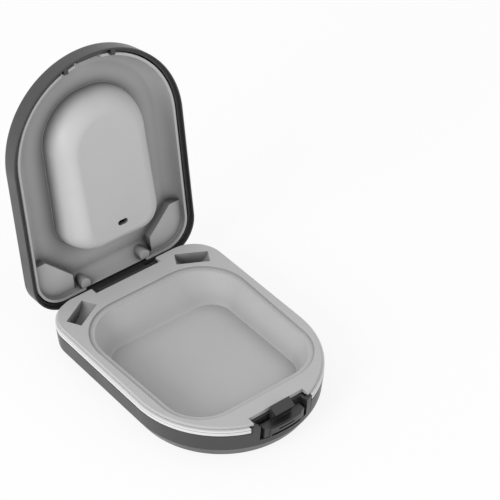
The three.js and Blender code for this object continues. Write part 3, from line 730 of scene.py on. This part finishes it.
def latch_button():
    """Button, hook arm and foot in one moulding, with a raised pad and two grip slots in front."""
    button_bottom = POCKET_BOTTOM + SEAT_GAP
    body = kept_in(
        wide_block(BUTTON_HALF, FRONT_Y - SHORT_OVERRUN, BUTTON_BACK_Y, button_bottom, BUTTON_TOP),
        base_body(0, STRIP_TOP))
    pad = kept_in(
        wide_block(PAD_HALF, FRONT_Y - PAD_PROUD - SHORT_OVERRUN, BUTTON_BACK_Y,
                   button_bottom, BUTTON_TOP - PAD_TOP_MARGIN),
        base_body(-PAD_PROUD, STRIP_TOP))
    grips = [
        wide_block(half, FRONT_Y - OVERRUN, FRONT_Y - PAD_PROUD + GRIP_DEPTH, low, low + width)
        for half, low, width in (
            (UPPER_GRIP_HALF, UPPER_GRIP_HEIGHT, UPPER_GRIP_WIDTH),
            (LOWER_GRIP_HALF, LOWER_GRIP_HEIGHT, LOWER_GRIP_WIDTH),
        )
    ]
    arm_front_y = HOOK_BACK_Y - ARM_THICKNESS
    nose_y = FRONT_Y + HOOK_NOSE_MARGIN
    nose_bottom = LID_BOTTOM + CATCH_HEIGHT + SEAT_GAP
    plate = wide_block(BUTTON_HALF, arm_front_y, HOOK_BACK_Y, button_bottom, BUTTON_TOP)
    arm = prism([
        (arm_front_y, button_bottom),
        (HOOK_BACK_Y, button_bottom),
        (HOOK_BACK_Y, HOOK_TOP),
        (nose_y, nose_bottom + HOOK_NOSE_THICKNESS),
        (nose_y, nose_bottom),
        (arm_front_y, nose_bottom),
    ], -ARM_HALF, ARM_HALF, "X")
    boss = wide_bar(BUTTON_HALF, LATCH_PIVOT_Y, LATCH_PIVOT_HEIGHT, LATCH_BOSS_RADIUS)
    leg = wide_block(BUTTON_HALF, arm_front_y, HOOK_BACK_Y,
                     LATCH_PIVOT_HEIGHT, button_bottom + SHORT_OVERRUN)
    foot = kept_in(joined(boss, leg), base_body(SHELL_WALL + SEAT_GAP, STRIP_TOP))
    bore = wide_bar(BUTTON_HALF + SHORT_OVERRUN, LATCH_PIVOT_Y, LATCH_PIVOT_HEIGHT,
                    LATCH_PIN_RADIUS + PIN_CLEARANCE)
    return cut(softened(cut(joined(body, pad, plate, arm, foot), bore)), *grips)


def dome_levels(inset_low, inset_high, z_low, z_high):
    """Insets and heights of a dome, closest together at its steep start."""
    levels = []
    for i in range(DOME_STEPS + 1):
        share = (i / DOME_STEPS) ** 2
        rise = (1 - (1 - share) ** DOME_ROUNDNESS) ** (1 / DOME_ROUNDNESS)
        levels.append((inset_low + (inset_high - inset_low) * share, z_low + (z_high - z_low) * rise))
    return levels


def crescent_edge(apex_y, fullness):
    """One edge of the crescent: half of a squared-off ellipse, from tip to tip."""
    half = SIDE_X - CRESCENT_SIDE_MARGIN
    tip_y = BACK_Y - CRESCENT_TIP_MARGIN
    points = []
    for i in range(CRESCENT_STEPS + 1):
        angle = math.pi * i / CRESCENT_STEPS
        across = abs(math.cos(angle)) ** (2 / fullness)
        x = -half * math.copysign(across, math.cos(angle))
        points.append((x, tip_y + (apex_y - tip_y) * abs(math.sin(angle)) ** (2 / fullness)))
    return points


def crescent_cut():
    """The shallow crescent in the top of the lid, between two edges that share their tips."""
    outer = crescent_edge(FRONT_Y + CRESCENT_OUTER_MARGIN, CRESCENT_OUTER_FULLNESS)
    inner = crescent_edge(FRONT_Y + CRESCENT_INNER_MARGIN, CRESCENT_INNER_FULLNESS)
    return prism(outer + inner[-2:0:-1], CLOSED_HEIGHT - CRESCENT_DEPTH, CLOSED_HEIGHT + OVERRUN)


def inside_lid_wall():
    """The room that fittings on the lid's wall may take up."""
    return case_loft((LIMIT_INSET, LID_BOTTOM), (LIMIT_INSET, LID_CREASE_HEIGHT - SHORT_OVERRUN))


def lid_shell():
    """The domed lid with its stepped rim, hinge barrel, catch bar, recess for the hook and tabs."""
    rim = rounded([
        (RIM_LIP + RIM_FOOT, LID_BOTTOM, 0),
        (0, LID_BOTTOM, EDGE_ROUNDING),
        (0, LID_BOTTOM + SHORT_OVERRUN, 0),
    ])
    outer = case_loft(*rim, *dome_levels(LID_CREASE_INSET, DOME_INSET, LID_CREASE_HEIGHT, CLOSED_HEIGHT))
    mouth = case_loft((RIM_LIP, LID_BOTTOM - OVERRUN), (RIM_LIP, RIM_STEP_HEIGHT))
    inner = case_loft((RIM_WALL, LID_BOTTOM), *dome_levels(
        LID_CREASE_INSET + LID_WALL, DOME_INSET + LID_WALL / 2,
        LID_CREASE_HEIGHT - DOME_INNER_DROP, CLOSED_HEIGHT - LID_WALL))
    bar_top = LID_BOTTOM + CATCH_HEIGHT
    bar = kept_in(
        wide_block(CATCH_HALF, FRONT_Y, FRONT_Y + RIM_WALL, LID_BOTTOM, RIM_STEP_HEIGHT),
        inside_lid_wall())
    recess_top = HOOK_TOP + SEAT_GAP
    recess_inset = RIM_WALL - CATCH_RECESS_DEPTH
    recess = kept_in(
        wide_block(CATCH_HALF, FRONT_Y, FRONT_Y + RIM_WALL + OVERRUN, bar_top, recess_top),
        case_loft((recess_inset, bar_top), (recess_inset + LID_CREASE_INSET, recess_top)))
    tabs = kept_in(
        block_pair(TAB_INNER, TAB_OUTER, FRONT_Y, FRONT_Y + TAB_END_MARGIN,
                   LID_BOTTOM, LID_BOTTOM + TAB_HEIGHT),
        inside_lid_wall())
    leaf = wide_block(BARREL_HALF, BACK_Y - RIM_WALL, BACK_Y, HINGE_HEIGHT, RIM_STEP_HEIGHT)
    barrel = wide_bar(BARREL_HALF, HINGE_Y, HINGE_HEIGHT, BARREL_RADIUS)
    bore = wide_bar(BARREL_HALF + OVERRUN, HINGE_Y, HINGE_HEIGHT, HINGE_PIN_RADIUS + PIN_CLEARANCE)
    knuckle = softened(cut(joined(leaf, barrel), bore))
    shell = cut(softened(cut(outer, mouth, inner)), crescent_cut())
    return joined(cut(joined(shell, bar), recess), softened(tabs), knuckle)


def hump_body(wall, foot_fillet, top):
    """The hump in the lid, rounded to its face, with a hollow fillet round its foot."""
    foot = LINER_CEILING - HUMP_FOOT_FILLET
    sections = []
    for across, up in reversed(quarter_turn(HUMP_STEPS)):
        z = foot + (HUMP_FACE_HEIGHT + wall - foot) * up
        sections.append((between(HUMP_PLAN, HUMP_FACE_PLAN, across), wall, z))
    for across, up in quarter_turn(HUMP_STEPS)[1:]:
        sections.append((HUMP_PLAN, wall - foot_fillet * across, foot + HUMP_FOOT_FILLET * up))
    sections.append((HUMP_PLAN, wall - foot_fillet, top))
    body = loft(sections)
    middle = (HUMP_PLAN.front + HUMP_PLAN.back) / 2
    for vertex in body.data.vertices:
        depth = max(0, foot - vertex.co.z)
        vertex.co.z -= depth * HUMP_LEAN * (vertex.co.y - middle) / (HUMP_PLAN.back - middle)
    return body


def liner_ear(side):
    """The shelf in a back corner of the lid, over one of the tray's cradles."""
    corners = [
        (SIDE_X - EAR_SIDE_MARGIN, BACK_Y - EAR_SIDE_BACK_MARGIN),
        (SIDE_X, BACK_Y - EAR_SIDE_BACK_MARGIN),
        (SIDE_X, BACK_Y),
        (SIDE_X - EAR_INNER_MARGIN, BACK_Y),
        (SIDE_X - EAR_INNER_MARGIN, BACK_Y - EAR_BACK_MARGIN),
    ]
    points = [(side * x, y) for x, y in corners]
    if side < 0:
        points.reverse()
    return prism(points, EAR_HEIGHT, LINER_CEILING + LINER_WALL / 2)


def liner_boss(side):
    """A short round post beside the hinge."""
    top = LINER_CEILING + LINER_WALL / 2
    return prism(disc(BOSS_RADIUS, side * BOSS_X, BACK_Y - BOSS_MARGIN), BOSS_BOTTOM, top)


def liner_back(depth):
    """The liner's outside, which follows the inside of the dome and is flat on top."""
    inset = LID_CREASE_INSET + LID_WALL + SEAT_GAP + depth
    top = LINER_CEILING + LINER_WALL - depth
    above = wide_block(SIDE_X, FRONT_Y, BACK_Y, top, CLOSED_HEIGHT)
    whole = case_loft((inset, RIM_STEP_HEIGHT), *dome_levels(
        inset, DOME_INSET + LID_WALL / 2 + SEAT_GAP + depth,
        LID_CREASE_HEIGHT - DOME_INNER_DROP - SEAT_GAP - depth,
        CLOSED_HEIGHT - LID_WALL - SEAT_GAP - depth))
    return cut(whole, above)


def lid_liner():
    """The lid's grey inside: a rounded shell with the hump, ears, bosses, slit and latch room."""
    back_top = LINER_CEILING + LINER_WALL
    fillet = [
        (LINER_RIM_INSET + LINER_FILLET_RUN * across,
         RIM_STEP_HEIGHT + (LINER_CEILING - RIM_STEP_HEIGHT) * up)
        for across, up in quarter_turn(LINER_FILLET_STEPS)
    ]
    inner = case_loft((LINER_RIM_INSET, RIM_STEP_HEIGHT - OVERRUN), *fillet)
    extras = joined(liner_ear(1), liner_ear(-1), liner_boss(1), liner_boss(-1))
    extras = kept_in(extras, liner_back(LINER_WALL / 2))
    slit = prism(slot_outline(BACK_Y - SLIT_BACK_MARGIN, SLIT_LENGTH, SLIT_WIDTH),
                 HUMP_FACE_HEIGHT - OVERRUN, HUMP_FACE_HEIGHT + LINER_WALL + OVERRUN)
    hinge_slot = wide_block(LINER_SLOT_HALF, BACK_Y - LINER_RIM_INSET, BACK_Y,
                            RIM_STEP_HEIGHT - OVERRUN, back_top + OVERRUN)
    hook_front = FRONT_Y + RIM_WALL
    rim_window = wide_block(CATCH_HALF, hook_front, FRONT_Y + LINER_RIM_INSET + SEAT_GAP,
                            RIM_STEP_HEIGHT - OVERRUN, back_top + OVERRUN)
    hook_room = wide_block(CATCH_HALF, hook_front, FRONT_Y + LATCH_DECK_MARGIN,
                           RIM_STEP_HEIGHT - OVERRUN, HOOK_TOP + SEAT_GAP)
    tab_room = block_pair(TAB_INNER - SEAT_GAP, TAB_OUTER + SEAT_GAP,
                          hook_front, FRONT_Y + TAB_ROOM_MARGIN,
                          RIM_STEP_HEIGHT - OVERRUN, LID_BOTTOM + TAB_HEIGHT + SEAT_GAP)
    hump = hump_body(0, HUMP_FOOT_FILLET, LINER_CEILING + LINER_WALL / 2)
    liner = joined(cut(liner_back(0), inner), extras, hump)
    liner = softened(cut(liner, hump_body(LINER_WALL, 0, back_top + OVERRUN), slit, hinge_slot))
    return cut(liner, rim_window, hook_room, tab_room)


def add_node(tree, kind, *inputs, family="ShaderNode", **settings):
    """A node in a tree, with its settings, and its inputs as pairs of a socket and a value or output."""
    node = tree.nodes.new(family + kind)
    for key, value in settings.items():
        setattr(node, key, value)
    for socket, value in inputs:
        if isinstance(value, bpy.types.NodeSocket):
            tree.links.new(value, node.inputs[socket])
        else:
            node.inputs[socket].default_value = value
    return node


class NodeTree:
    """A Geometry Nodes tree with named inputs, run once on an empty mesh."""

    def __init__(self, name):
        self.tree = bpy.data.node_groups.new(name, "GeometryNodeTree")
        for way in ("INPUT", "OUTPUT"):
            self.tree.interface.new_socket("Geometry", in_out=way, socket_type="NodeSocketGeometry")
        self.start = self.tree.nodes.new("NodeGroupInput")
        self.end = self.tree.nodes.new("NodeGroupOutput")
        self.values = {}

    def value(self, name, kind, value):
        """A named input of the tree, and the value that its modifier will get."""
        socket = self.tree.interface.new_socket(name, in_out="INPUT", socket_type=kind)
        self.values[socket.identifier] = value
        return self.start.outputs[name]

    def size(self, name, value):
        return self.value(name, "NodeSocketFloat", float(value))

    def count(self, name, value):
        return self.value(name, "NodeSocketInt", value)

    def node(self, kind, *inputs, **settings):
        """A node's first output, which is the one that the next node takes."""
        return add_node(self.tree, kind, *inputs, family="GeometryNode", **settings).outputs[0]

    def maths(self, operation, *values):
        return add_node(self.tree, "Math", *enumerate(values), operation=operation).outputs[0]

    def vector(self, x=0.0, y=0.0, z=0.0):
        return add_node(self.tree, "CombineXYZ", (0, x), (1, y), (2, z)).outputs[0]

    def result(self, name, geometry, material):
        """The tree's result as a plain mesh object."""
        real = self.node("RealizeInstances", ("Geometry", geometry))
        finish = self.node("SetMaterial", ("Geometry", real), ("Material", material))
        self.tree.links.new(finish, self.end.inputs["Geometry"])
        carrier = mesh_object(name, [], [])
        modifier = carrier.modifiers.new(name, "NODES")
        modifier.node_group = self.tree
        for identifier, value in self.values.items():
            modifier[identifier] = value
        return as_made(carrier)


def trim_strip(name, side, material):
    """One side of the light strip: two rounded beads on a core, swept along the case's outline."""
    tree = NodeTree(name)
    width = tree.size("Case width", CASE_WIDTH)
    length = tree.size("Case length", CASE_LENGTH)
    back_radius = tree.size("Back corner radius", BACK_CORNER_RADIUS)
    depth = tree.size("Strip depth", STRIP_DEPTH)
    bottom = tree.size("Strip bottom", STRIP_BOTTOM)
    height = tree.size("Strip height", STRIP_HEIGHT)
    lower = tree.size("Lower bead height", STRIP_LOWER_BEAD)
    gap = tree.size("Gap between beads", STRIP_BEAD_GAP)
    core_inset = tree.size("Core inset", STRIP_CORE_INSET)
    rounding = tree.size("Bead rounding", STRIP_BEAD_ROUNDING)
    front_gap = tree.size("Front gap half", STRIP_FRONT_GAP_HALF)
    back_gap = tree.size("Back gap half", STRIP_BACK_GAP_HALF)
    corner_steps = tree.count("Corner steps", FRONT_STEPS)
    bead_steps = tree.count("Bead steps", STRIP_BEAD_STEPS)

    def filleted(line, radius, steps):
        """A line with its corners turned into arcs."""
        return tree.node("FilletCurve", ("Curve", line), ("Radius", radius),
                         ("Count", steps), ("Limit Radius", True), mode="POLY")

    place = add_node(tree.tree, "SeparateXYZ", ("Vector", tree.node("InputPosition")))
    at_front = tree.maths("LESS_THAN", place.outputs["Y"], 0.0)
    difference = tree.maths("SUBTRACT", tree.maths("MULTIPLY", width, 0.5), back_radius)
    radius = tree.maths("MULTIPLY_ADD", at_front, difference, back_radius)
    oblong = tree.node("CurvePrimitiveQuadrilateral", ("Width", width), ("Height", length))
    path = tree.node("SetCurveNormal", ("Curve", filleted(oblong, radius, corner_steps)), mode="Z_UP")

    def bead(deep, inset, low, tall):
        """A rounded oblong swept along the outline, so far in from it and so far up."""
        sharp = tree.node("CurvePrimitiveQuadrilateral", ("Width", deep), ("Height", tall))
        section = filleted(sharp, rounding, bead_steps)
        inwards = tree.maths("MULTIPLY_ADD", deep, -0.5, tree.maths("MULTIPLY", inset, -1.0))
        downwards = tree.maths("MULTIPLY_ADD", tall, -0.5, tree.maths("MULTIPLY", low, -1.0))
        placed = tree.node("Transform", ("Geometry", section),
                           ("Translation", tree.vector(inwards, downwards)))
        return tree.node("CurveToMesh", ("Curve", path), ("Profile Curve", placed))

    upper_start = tree.maths("ADD", tree.maths("ADD", bottom, lower), gap)
    upper_tall = tree.maths("SUBTRACT", tree.maths("SUBTRACT", height, lower), gap)
    core_deep = tree.maths("SUBTRACT", depth, core_inset)
    core_low = tree.maths("ADD", bottom, core_inset)
    core_tall = tree.maths("SUBTRACT", height, tree.maths("MULTIPLY", core_inset, 2.0))
    ring = tree.node("MeshBoolean",
                     ("Mesh 2", bead(depth, 0.0, bottom, lower)),
                     ("Mesh 2", bead(depth, 0.0, upper_start, upper_tall)),
                     ("Mesh 2", bead(core_deep, core_inset, core_low, core_tall)),
                     operation="UNION", solver="MANIFOLD")

    def window(half, y):
        """A block from the gap's end across to the other side of the case."""
        reach = CASE_WIDTH
        middle = tree.maths("SUBTRACT", tree.maths("MULTIPLY", half, float(side)), side * reach)
        cube = tree.node("MeshCube", ("Size", tree.vector(reach * 2, reach, reach)))
        return tree.node("Transform", ("Geometry", cube), ("Translation", tree.vector(middle, y)))

    trimmed = tree.node("MeshBoolean", ("Mesh 1", ring),
                        ("Mesh 2", window(front_gap, -SIDE_X)),
                        ("Mesh 2", window(back_gap, SIDE_X)),
                        operation="DIFFERENCE", solver="MANIFOLD")
    return tree.result(name, trimmed, material)


def latch_spring(name, material):
    """A close coil of round wire between the button's arm and the seat in the housing."""
    tree = NodeTree(name)
    radius = tree.size("Coil radius", SPRING_RADIUS)
    wire = tree.size("Wire radius", SPRING_WIRE_RADIUS)
    turns = tree.size("Turns", SPRING_TURNS)
    length = tree.size("Coil length", SPRING_BACK_Y - SPRING_FRONT_Y - SPRING_WIRE_RADIUS * 2)
    steps = tree.count("Steps a turn", SPRING_STEPS)
    sides = tree.count("Wire sides", WIRE_SIDES)
    coil = tree.node("CurveSpiral", ("Resolution", steps), ("Rotations", turns),
                     ("Start Radius", radius), ("End Radius", radius), ("Height", length))
    section = tree.node("CurvePrimitiveCircle", ("Resolution", sides), ("Radius", wire))
    sweep = tree.node("CurveToMesh", ("Curve", coil), ("Profile Curve", section), ("Fill Caps", True))
    turned = tree.node("Transform", ("Geometry", sweep), ("Rotation", (-math.pi / 2, 0, 0)),
                       ("Translation", (0, SPRING_FRONT_Y + SPRING_WIRE_RADIUS, SPRING_HEIGHT)))
    return tree.result(name, turned, material)


def pin(half, y, z, radius):
    """A plain pin across the middle of the case."""
    return softened(wide_bar(half, y, z, radius), PIN_ROUNDING)


def dressed(name, solid, material, body, nodes, turned=False):
    """Gives a solid its finish, smooth shading and place, and lets it stand in for its node."""
    mesh = solid.data
    solid.name = name
    mesh.name = name
    mesh.materials.clear()
    mesh.materials.append(material)
    mesh.shade_smooth()
    mesh.set_sharp_from_angle(angle=SMOOTH_ANGLE)
    place = Matrix.Scale(MM, 4)
    if turned:
        hinge = Matrix.Translation((0, HINGE_Y, HINGE_HEIGHT))
        place = place @ hinge @ Matrix.Rotation(-OPEN_ANGLE, 4, "X") @ hinge.inverted()
    mesh.transform(place)
    weighted = solid.modifiers.new("normals", "WEIGHTED_NORMAL")
    weighted.keep_sharp = True
    weighted.weight = NORMAL_WEIGHT
    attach(solid, body)
    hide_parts(*nodes)
    return solid


def set_camera():
    """The camera, aimed by its azimuth, elevation and roll."""
    back = Vector((
        math.sin(CAMERA_AZIMUTH) * math.cos(CAMERA_ELEVATION),
        -math.cos(CAMERA_AZIMUTH) * math.cos(CAMERA_ELEVATION),
        math.sin(CAMERA_ELEVATION),
    ))
    right = Vector((math.cos(CAMERA_AZIMUTH), math.sin(CAMERA_AZIMUTH), 0))
    up = back.cross(right)
    turn = Matrix((right, up, back)).transposed() @ Matrix.Rotation(CAMERA_ROLL, 3, "Z")
    data = bpy.data.cameras.new("camera")
    data.lens = LENS_MM
    data.sensor_width = SENSOR_MM
    data.clip_start = CAMERA_NEAR
    data.clip_end = CAMERA_FAR
    camera = bpy.data.objects.new("camera", data)
    camera.matrix_world = Matrix.Translation(CAMERA_PLACE) @ turn.to_4x4()
    bpy.context.scene.collection.objects.link(camera)
    bpy.context.scene.camera = camera


def new_material(name):
    """A material, its node tree and its shader."""
    material = bpy.data.materials.new(name)
    material.use_nodes = True
    return material, material.node_tree, material.node_tree.nodes["Principled BSDF"]


def plastic(name, colour, roughness, grain, smudge, painted_shade_reach, painted_shade_strength):
    """Moulded plastic: fine spark-eroded grain, faint handling smudges, and painted shade that darkens
    its colour in its corners.
    """
    material, tree, shader = new_material(name)
    place = add_node(tree, "TexCoord").outputs["Object"]
    cloud = add_node(tree, "TexNoise", ("Vector", place),
                     ("Scale", SMUDGE_SCALE), ("Detail", SMUDGE_DETAIL)).outputs["Fac"]
    tint = add_node(tree, "MapRange", ("Value", cloud),
                    ("To Min", 1 - TINT_SPREAD), ("To Max", 1 + TINT_SPREAD))
    # Painted shade: an ambient occlusion node darkens the base colour in corners, creases and hollows
    corner = add_node(tree, "AmbientOcclusion", ("Distance", painted_shade_reach * MM),
                      samples=PAINTED_SHADE_SAMPLES, only_local=True)
    painted_corner_shade = add_node(tree, "Math", (0, corner.outputs["AO"]), (1, painted_shade_strength), operation="POWER")
    # Random tint times the painted corner shade, which together scale the base colour
    tint_and_painted_shade = add_node(tree, "Math", (0, tint.outputs["Result"]), (1, painted_corner_shade.outputs["Value"]),
                     operation="MULTIPLY")
    shade = add_node(tree, "Mix", data_type="RGBA", blend_type="MULTIPLY")
    shade.inputs["Factor"].default_value = 1
    shade.inputs["A"].default_value = (*colour, 1)
    tree.links.new(tint_and_painted_shade.outputs["Value"], shade.inputs["B"])
    tree.links.new(shade.outputs["Result"], shader.inputs["Base Color"])
    handled = add_node(tree, "MapRange", ("Value", cloud),
                       ("From Min", SMUDGE_START), ("From Max", SMUDGE_END),
                       ("To Min", roughness - smudge), ("To Max", roughness + smudge))
    tree.links.new(handled.outputs["Result"], shader.inputs["Roughness"])
    pits = add_node(tree, "TexNoise", ("Vector", place),
                    ("Scale", GRAIN_SCALE), ("Detail", GRAIN_DETAIL))
    bump = add_node(tree, "Bump", ("Height", pits.outputs["Fac"]),
                    ("Strength", grain), ("Distance", GRAIN_DEPTH))
    tree.links.new(bump.outputs["Normal"], shader.inputs["Normal"])
    return material


def steel(name, colour, roughness):
    """Bare steel with the fine lengthwise scratches of grinding or drawing."""
    material, tree, shader = new_material(name)
    place = add_node(tree, "TexCoord").outputs["Object"]
    shader.inputs["Base Color"].default_value = (*colour, 1)
    shader.inputs["Metallic"].default_value = 1
    stretch = add_node(tree, "Mapping", ("Vector", place),
                       ("Scale", (1, SCRATCH_STRETCH, SCRATCH_STRETCH)))
    scratches = add_node(tree, "TexNoise", ("Vector", stretch.outputs["Vector"]),
                         ("Scale", SCRATCH_SCALE), ("Detail", SCRATCH_DETAIL)).outputs["Fac"]
    worn = add_node(tree, "MapRange", ("Value", scratches),
                    ("To Min", roughness * POLISHED_SHARE), ("To Max", roughness * WORN_SHARE))
    tree.links.new(worn.outputs["Result"], shader.inputs["Roughness"])
    bump = add_node(tree, "Bump", ("Height", scratches),
                    ("Strength", SCRATCH_STRENGTH), ("Distance", SCRATCH_DEPTH))
    tree.links.new(bump.outputs["Normal"], shader.inputs["Normal"])
    return material


def seen_directly(tree):
    """1 where the camera, a reflection or a see-through ray meets the background, else 0."""
    path = add_node(tree, "LightPath")
    seen = path.outputs["Is Camera Ray"]
    for ray in ("Is Glossy Ray", "Is Transmission Ray"):
        either = add_node(tree, "Math", (0, seen), (1, path.outputs[ray]), operation="MAXIMUM")
        seen = either.outputs["Value"]
    return seen


def stage():
    """A plain white table top that still takes the case's shadow."""
    bpy.ops.mesh.primitive_plane_add(size=TABLE_SIZE)
    floor = bpy.context.object
    floor.name = "floor"
    material, tree, matt = new_material("white_table")
    matt.inputs["Base Color"].default_value = (TABLE_COLOUR, TABLE_COLOUR, TABLE_COLOUR, 1)
    matt.inputs["Roughness"].default_value = TABLE_ROUGHNESS
    matt.inputs["Specular IOR Level"].default_value = TABLE_GLOSS
    glow = add_node(tree, "Emission", ("Strength", 1))
    white = add_node(tree, "BsdfDiffuse", ("Color", WHITE))
    lit = add_node(tree, "MixShader", ("Fac", TABLE_WHITENESS),
                   (1, white.outputs["BSDF"]), (2, glow.outputs["Emission"]))
    choice = add_node(tree, "MixShader", ("Fac", seen_directly(tree)),
                      (1, matt.outputs["BSDF"]), (2, lit.outputs["Shader"]))
    tree.links.new(choice.outputs["Shader"], tree.nodes["Material Output"].inputs["Surface"])
    floor.data.materials.append(material)


def set_light():
    """Even white surroundings and one large soft lamp, high on the left."""
    world = bpy.data.worlds.new("studio")
    bpy.context.scene.world = world
    world.use_nodes = True
    tree = world.node_tree
    tree.nodes.clear()
    soft = add_node(tree, "Background", ("Color", WHITE), ("Strength", ROOM_LIGHT))
    seen = add_node(tree, "Background", ("Color", WHITE), ("Strength", 1))
    mix = add_node(tree, "MixShader", ("Fac", seen_directly(tree)),
                   (1, soft.outputs["Background"]), (2, seen.outputs["Background"]))
    add_node(tree, "OutputWorld", ("Surface", mix.outputs["Shader"]))
    data = bpy.data.lights.new("key", "AREA")
    data.shape = "DISK"
    data.size = KEY_SIZE
    data.energy = KEY_POWER
    lamp = bpy.data.objects.new("key", data)
    lamp.location = KEY_PLACE
    aim = Vector(LIT_POINT) - Vector(KEY_PLACE)
    lamp.rotation_euler = aim.to_track_quat("-Z", "Y").to_euler()
    bpy.context.scene.collection.objects.link(lamp)
    bpy.context.scene.view_settings.view_transform = "Standard"


set_camera()
stage()
set_light()

# Finishes of the case
# Each plastic darkens its colour in its corners with painted shade, set by its last two values: reach in
# millimetres and strength
black = plastic("satin_black_plastic", (0.044, 0.044, 0.046),
                roughness=0.4, grain=0.25, smudge=0.05, painted_shade_reach=10, painted_shade_strength=1)
catch_black = plastic("darker_latch_plastic", (0.034, 0.034, 0.036),
                      roughness=0.33, grain=0.2, smudge=0.05, painted_shade_reach=6, painted_shade_strength=1.2)
tray_grey = plastic("matte_grey_tray_plastic", (0.5, 0.5, 0.5),
                    roughness=0.6, grain=0.2, smudge=0.04, painted_shade_reach=8, painted_shade_strength=0.8)
lining_grey = plastic("matte_grey_lining_plastic", (0.56, 0.56, 0.56),
                      roughness=0.5, grain=0.2, smudge=0.04, painted_shade_reach=8, painted_shade_strength=2)
strip_white = plastic("near_white_plastic", (0.74, 0.74, 0.74),
                      roughness=0.45, grain=0.2, smudge=0.04, painted_shade_reach=3, painted_shade_strength=1)
ground_steel = steel("ground_steel_pin", (0.5, 0.5, 0.51), roughness=0.28)
spring_steel = steel("drawn_spring_wire", (0.42, 0.42, 0.43), roughness=0.34)

# Pieces of the case, each in place of its solid
dressed("lower_shell", base_shell(), black, "base", ["base_shell"])
dressed("moulded_tray", tray(), tray_grey, "base", ["inner_tray"])
dressed("latch_paddle", latch_button(), catch_black, "latch_button", ["latch_button"])
dressed("domed_lid", lid_shell(), black, "lid", ["lid_shell"], turned=True)
dressed("lid_lining", lid_liner(), lining_grey, "lid", ["lid_liner"], turned=True)
for side, word in ((1, "right"), (-1, "left")):
    name = "trim_" + word
    strip = softened(trim_strip(name, side, strip_white), STRIP_END_ROUNDING)
    dressed(name, strip, strip_white, "base", ["trim_strip_" + word])
hinge_half = BARREL_HALF + KNUCKLE_GAP + KNUCKLE_WIDTH - SEAT_GAP
hinge_axle = pin(hinge_half, HINGE_Y, HINGE_HEIGHT, HINGE_PIN_RADIUS)
dressed("hinge_axle", hinge_axle, ground_steel, "base", ["hinge_pin"])
latch_half = POCKET_HALF + CHEEK_THICKNESS - SEAT_GAP
latch_axle = pin(latch_half, LATCH_PIVOT_Y, LATCH_PIVOT_HEIGHT, LATCH_PIN_RADIUS)
dressed("latch_axle", latch_axle, ground_steel, "base", ["latch_pin"])
coil = dressed("return_spring", latch_spring("return_spring", spring_steel), spring_steel, "base",
               ["latch_spring"])
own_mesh(coil)

# The solids under the pieces carry the same finishes
finish_of = {
    "shell_black": black,
    "liner_grey": tray_grey,
    "trim_light": strip_white,
    "pin_steel": ground_steel,
    "spring_steel": spring_steel,
}
slot_of = {s["node"]: s["material_slot"] for s in frame["record"]["subparts"]}
for name, node in frame["nodes"].items():
    node.data.materials.clear()
    node.data.materials.append(finish_of[slot_of[name]])

bpy.context.view_layer.update()
